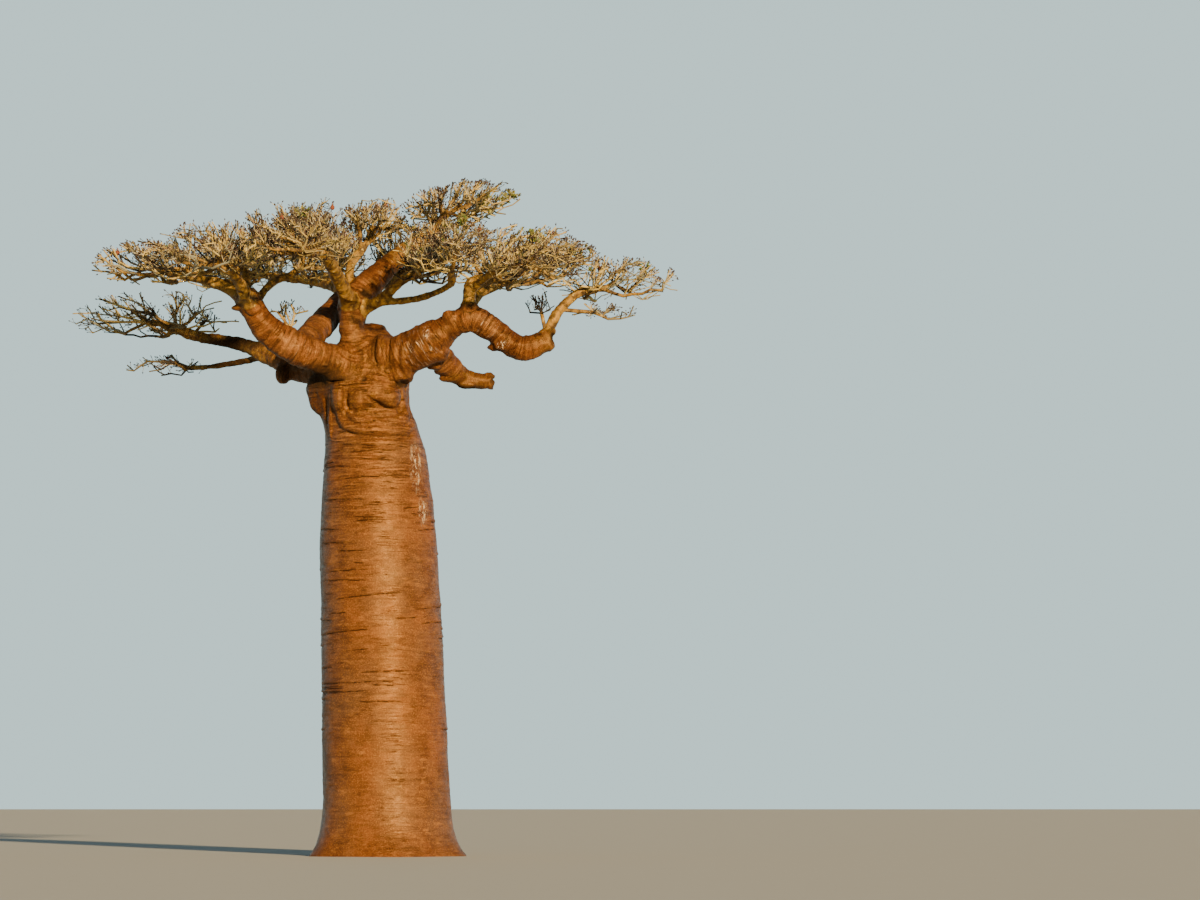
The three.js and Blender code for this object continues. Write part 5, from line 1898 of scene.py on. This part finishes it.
class Nodes:
    """Short calls that build one material's node tree."""

    def __init__(self, name):
        self.material = bpy.data.materials.new(name)
        self.material.use_nodes = True
        self.tree = self.material.node_tree
        self.shader = self.tree.nodes["Principled BSDF"]
        self.place = self.node("ShaderNodeTexCoord").outputs["Object"]
        self.rings = None
        self.base = None

    def node(self, kind, **settings):
        made = self.tree.nodes.new(kind)
        for key, value in settings.items():
            setattr(made, key, value)
        return made

    def link(self, source, target):
        if isinstance(source, (int, float, tuple)):
            target.default_value = source
        else:
            self.tree.links.new(source, target)

    def follow_rings(self):
        """A place whose third number is the way up the trunk or along a limb."""
        split = self.node("ShaderNodeSeparateXYZ")
        self.link(self.place, split.inputs["Vector"])
        whole = self.node("ShaderNodeCombineXYZ")
        self.link(split.outputs["X"], whole.inputs["X"])
        self.link(split.outputs["Y"], whole.inputs["Y"])
        self.link(self.fact("ring_place"), whole.inputs["Z"])
        self.rings = whole.outputs["Vector"]

    def noise(self, scale, stretch, detail, rough=0.5, ringed=False):
        mapping = self.node("ShaderNodeMapping")
        mapping.inputs["Scale"].default_value = stretch
        self.link(self.rings if ringed else self.place, mapping.inputs["Vector"])
        made = self.node("ShaderNodeTexNoise")
        made.inputs["Scale"].default_value = scale
        made.inputs["Detail"].default_value = detail
        made.inputs["Roughness"].default_value = rough
        self.link(mapping.outputs["Vector"], made.inputs["Vector"])
        return made.outputs["Fac"]

    def ramp(self, value, low, high, start=0.0, end=1.0):
        made = self.node("ShaderNodeMapRange", interpolation_type="SMOOTHSTEP")
        self.link(value, made.inputs["Value"])
        for socket, number in zip(("From Min", "From Max", "To Min", "To Max"), (low, high, start, end)):
            made.inputs[socket].default_value = number
        return made.outputs["Result"]

    def spots(self, kind, span):
        """Noise of one kind, turned to a share over a span of its values."""
        return self.ramp(self.noise(*kind), *span)

    def math(self, operation, first, second=0.0):
        made = self.node("ShaderNodeMath", operation=operation)
        self.link(first, made.inputs[0])
        self.link(second, made.inputs[1])
        return made.outputs["Value"]

    def times(self, first, *others):
        for other in others:
            first = self.math("MULTIPLY", first, other)
        return first

    def threads(self, kind, span):
        """Thin lines that wind round a limb, where ringed noise passes its middle."""
        away = self.math("SUBTRACT", self.noise(*kind, ringed=True), 0.5)
        return self.ramp(self.math("ABSOLUTE", away), *span)

    def mix(self, share, first, second):
        made = self.node("ShaderNodeMix", data_type="RGBA")
        self.link(share, made.inputs["Factor"])
        self.link(colour(first), made.inputs["A"])
        self.link(colour(second), made.inputs["B"])
        return made.outputs["Result"]

    def lay(self, share, laid):
        """Lays a colour over the base colour so far."""
        self.base = self.mix(share, self.base, laid)

    def fact(self, name):
        return self.node("ShaderNodeAttribute", attribute_name=name).outputs["Fac"]

    def bump(self, height, distance, strength=1.0, under=None):
        made = self.node("ShaderNodeBump")
        made.inputs["Distance"].default_value = distance
        made.inputs["Strength"].default_value = strength
        self.link(height, made.inputs["Height"])
        if under is not None:
            self.link(under, made.inputs["Normal"])
        return made.outputs["Normal"]

    def finish(self, roughness, normal, specular, tint=(1, 1, 1)):
        self.link(colour(self.base), self.shader.inputs["Base Color"])
        self.link(roughness, self.shader.inputs["Roughness"])
        self.link(normal, self.shader.inputs["Normal"])
        self.shader.inputs["Specular IOR Level"].default_value = specular
        self.shader.inputs["Specular Tint"].default_value = colour(tint)
        return self.material


def colour(value):
    """A colour of three numbers as one of four, and anything else as it is."""
    return (*value, 1.0) if isinstance(value, tuple) and len(value) == 3 else value


def lay_copper(bark):
    """The bark's patches of copper, grey and red, the red partly painted shade, and the stains and
    glints of the head.
    """
    bark.base = COPPER
    for laid, kind, span in COPPER_LAYERS:
        bark.lay(bark.spots(kind, span), laid)
    # Red bark, partly painted shade
    bark.lay(bark.fact("ruddy_and_painted_shade"), RUDDY_AND_SHADE_BARK)
    for laid, kind, span, most in HEAD_LAYERS:
        bark.lay(bark.times(bark.spots(kind, span), bark.fact("head"), most), laid)


def lay_wrinkles(bark, wrinkles, speckle, ringed):
    """Fine wrinkles across the bark, dark in their hollows as painted shade and bright on their ridges
    as painted highlight, and speckles all over it.
    """
    bark.lay(bark.times(bark.ramp(wrinkles, *WRINKLE_SHADE), ringed), DEEP_COPPER)
    bark.lay(bark.times(bark.ramp(wrinkles, *WRINKLE_HIGHLIGHT), ringed), BRIGHT_COPPER)
    bark.lay(bark.ramp(speckle, *BRIGHT_SPECKS), BRIGHT_COPPER)
    bark.lay(bark.ramp(speckle, *DARK_SPECKS), DEEP_COPPER)
    # More of the red bark, partly painted shade
    bark.lay(bark.times(bark.fact("ruddy_and_painted_shade"), RUDDY_AND_SHADE_OVER), RUDDY_AND_SHADE_BARK)


def lay_threads(bark, ringed):
    """Thin dark lines across the bark. Returns where they are."""
    threads = bark.times(bark.threads(*DARK_THREADS), bark.spots(*THREAD_PATCHES))
    threads = bark.times(threads, bark.math("SUBTRACT", ringed, bark.fact("slender")))
    bark.lay(bark.times(threads, THREADS_MOST), SHADE_AND_LINE_COLOUR)
    return threads


def limb_colours(bark, span):
    """Grey and ochre mottles with spots of lichen, on slender limbs and branches."""
    mottled = bark.mix(bark.spots(MOTTLE, span), LIMB_OCHRE, LIMB_GREY)
    return bark.mix(bark.spots(*LICHEN_SPOTS), mottled, LICHEN)


def lay_crease_shade(bark):
    """Painted shade: dark lines in the creases, dark grooves and pits, and near-black where shadows
    fall. Returns where the creases are.
    """
    over = bark.math("ABSOLUTE", bark.fact("over"))
    line = bark.times(bark.ramp(over, *CREASE_LINE), bark.ramp(bark.fact("crease"), *CREASE_SHARE))
    line = bark.times(line, bark.spots(*CREASE_PATCHES))
    bark.lay(line, SHADE_AND_LINE_COLOUR)
    bark.lay(bark.times(bark.fact("groove"), GROOVE_SHADE_MOST), SHADE_AND_LINE_COLOUR)
    # Painted shade: near-black laid in the areas where shadows fall.
    bark.lay(bark.times(bark.fact("painted_black_shade"), bark.spots(*BLACK_SHADE_PATCHES)), BLACK_SHADE_COLOUR)
    return line


def lay_sap(bark):
    """Runs of pale sap, and pale arcs round the boughs."""
    drips = bark.math("MAXIMUM", bark.spots(*SAP_DOTS), bark.spots(*SAP_DRIPS))
    bark.lay(bark.times(drips, bark.fact("sap"), SAP_MOST), SAP_COLOUR)
    arcs = bark.times(bark.threads(*PALE_ARCS), bark.spots(*ARC_PATCHES))
    bark.lay(bark.times(arcs, bark.fact("arced"), ARCS_MOST), SAP_COLOUR)


def bark_material():
    """Smooth coppery bark: fine wrinkles across, pale sap, ochre on slender limbs, with painted shade in
    its creases, grooves and shadowed areas and painted highlight on the wrinkles' ridges.
    """
    bark = Nodes("copper_bark")
    bark.follow_rings()
    wrinkles = bark.noise(*WRINKLES, ringed=True)
    speckle = bark.noise(*SPECKLE)
    ringed = bark.ramp(bark.fact("ring_place"), *SMOOTH_LEVELS, *SMOOTH_SPAN)
    lay_copper(bark)
    lay_wrinkles(bark, wrinkles, speckle, ringed)
    threads = lay_threads(bark, ringed)
    bark.lay(bark.fact("slender"), limb_colours(bark, MOTTLE_SPAN))
    line = lay_crease_shade(bark)
    lay_sap(bark)
    pits = bark.times(bark.noise(*HEAD_PITS), bark.fact("head"))
    height = bark.times(wrinkles, WRINKLE_HEIGHT, ringed)
    height = bark.math("ADD", height, bark.times(pits, PIT_HEIGHT))
    height = bark.math("ADD", height, bark.times(speckle, SPECK_HEIGHT))
    normal = bark.bump(height, *BARK_BUMP)
    normal = bark.bump(bark.math("MAXIMUM", line, threads), *LINE_BUMP, normal)
    rough = bark.math("MAXIMUM", bark.spots(*BARK_GLOSS), bark.fact("painted_black_shade"))
    return bark.finish(rough, normal, BARK_SPECULAR, GLOSS_TINT)


def branch_material():
    """Mottled ochre bark with lichen, on branches too thick to be twigs."""
    bark = Nodes("branch_bark")
    bark.base = limb_colours(bark, BRANCH_MOTTLE_SPAN)
    bark.lay(bark.spots(*BRANCH_SPOTS), SHADE_AND_LINE_COLOUR)
    normal = bark.bump(bark.noise(*BRANCH_GRAIN), BRANCH_GRAIN_DEPTH)
    return bark.finish(BRANCH_ROUGH, normal, PLAIN_SPECULAR)


def plain_material(name, base, finish=WOODY):
    """One base colour, with its grain in the gloss and the relief."""
    plain = Nodes(name)
    plain.base = base
    rough, scale, depth, specular = finish
    grains = plain.noise(scale, EVEN, 4, 0.6)
    return plain.finish(plain.ramp(grains, *GRAIN_SPAN, *rough), plain.bump(grains, depth), specular)


def make_materials():
    materials = {name: plain_material(f"twig_{name}", base) for name, base in TWIG_KINDS.items()}
    materials["bark"] = bark_material()
    materials["branch"] = branch_material()
    materials["bud"] = plain_material("bud_brown", BUD_COLOUR)
    materials["fruit"] = plain_material("fruit_velvet", FRUIT_COLOUR, VELVETY)
    materials["leaves"] = [plain_material(name, base, LEAFY) for name, base in LEAF_COLOURS.items()]
    return materials


# Studio and camera

def make_floor():
    corners = [(x * FLOOR_HALF, y * FLOOR_HALF, 0) for x, y in ((-1, -1), (1, -1), (1, 1), (-1, 1))]
    floor = stand("floor", mesh_of("floor", np.array(corners), np.array([(0, 1, 2, 3)])))
    floor.data.materials.append(plain_material("pale_floor", FLOOR_COLOUR, DUSTY))


def make_sun():
    sun = bpy.data.lights.new("sun", "SUN")
    sun.energy = SUN_ENERGY
    sun.color = SUN_COLOUR
    sun.angle = math.radians(SUN_SOFTNESS)
    x, y, z = SUN_FROM
    turn = (math.atan2(math.hypot(x, y), z), 0, math.atan2(y, x) + math.pi / 2)
    stand("sun", sun).rotation_euler = turn


def make_sky():
    """Light from all round that fades from the low sky to the high sky."""
    world = bpy.data.worlds.new("pale_light")
    world.use_nodes = True
    tree = world.node_tree
    place, split, level, blend = (
        tree.nodes.new(f"ShaderNode{kind}") for kind in ("TexCoord", "SeparateXYZ", "MapRange", "Mix")
    )
    level.interpolation_type = "SMOOTHSTEP"
    level.inputs["From Min"].default_value, level.inputs["From Max"].default_value = SKY_LEVELS
    blend.data_type = "RGBA"
    blend.inputs["A"].default_value = colour(LOW_SKY)
    blend.inputs["B"].default_value = colour(HIGH_SKY)
    for source, target in (
        (place.outputs["Generated"], split.inputs["Vector"]),
        (split.outputs["Z"], level.inputs["Value"]),
        (level.outputs["Result"], blend.inputs["Factor"]),
        (blend.outputs["Result"], tree.nodes["Background"].inputs["Color"]),
    ):
        tree.links.new(source, target)
    bpy.context.scene.world = world


def make_camera():
    lens = bpy.data.cameras.new("camera")
    lens.sensor_fit = "HORIZONTAL"
    lens.sensor_width = SENSOR_WIDTH
    lens.lens = FOCAL_PIXELS * SENSOR_WIDTH / IMAGE_WIDTH
    lens.clip_end = CLIP_END
    camera = stand("camera", lens)
    camera.location = CAMERA_PLACE
    camera.rotation_euler = (math.radians(90 + CAMERA_PITCH), 0, 0)
    bpy.context.scene.camera = camera


make_camera()
make_floor()
make_sun()
make_sky()
MATERIALS = make_materials()
make_skin(MATERIALS["bark"])
TWIG_ENDS, TWIG_WAYS = make_twigs(MATERIALS)
make_fruits(MATERIALS["fruit"], TWIG_ENDS)
make_leaves(MATERIALS["leaves"], TWIG_ENDS, TWIG_WAYS)
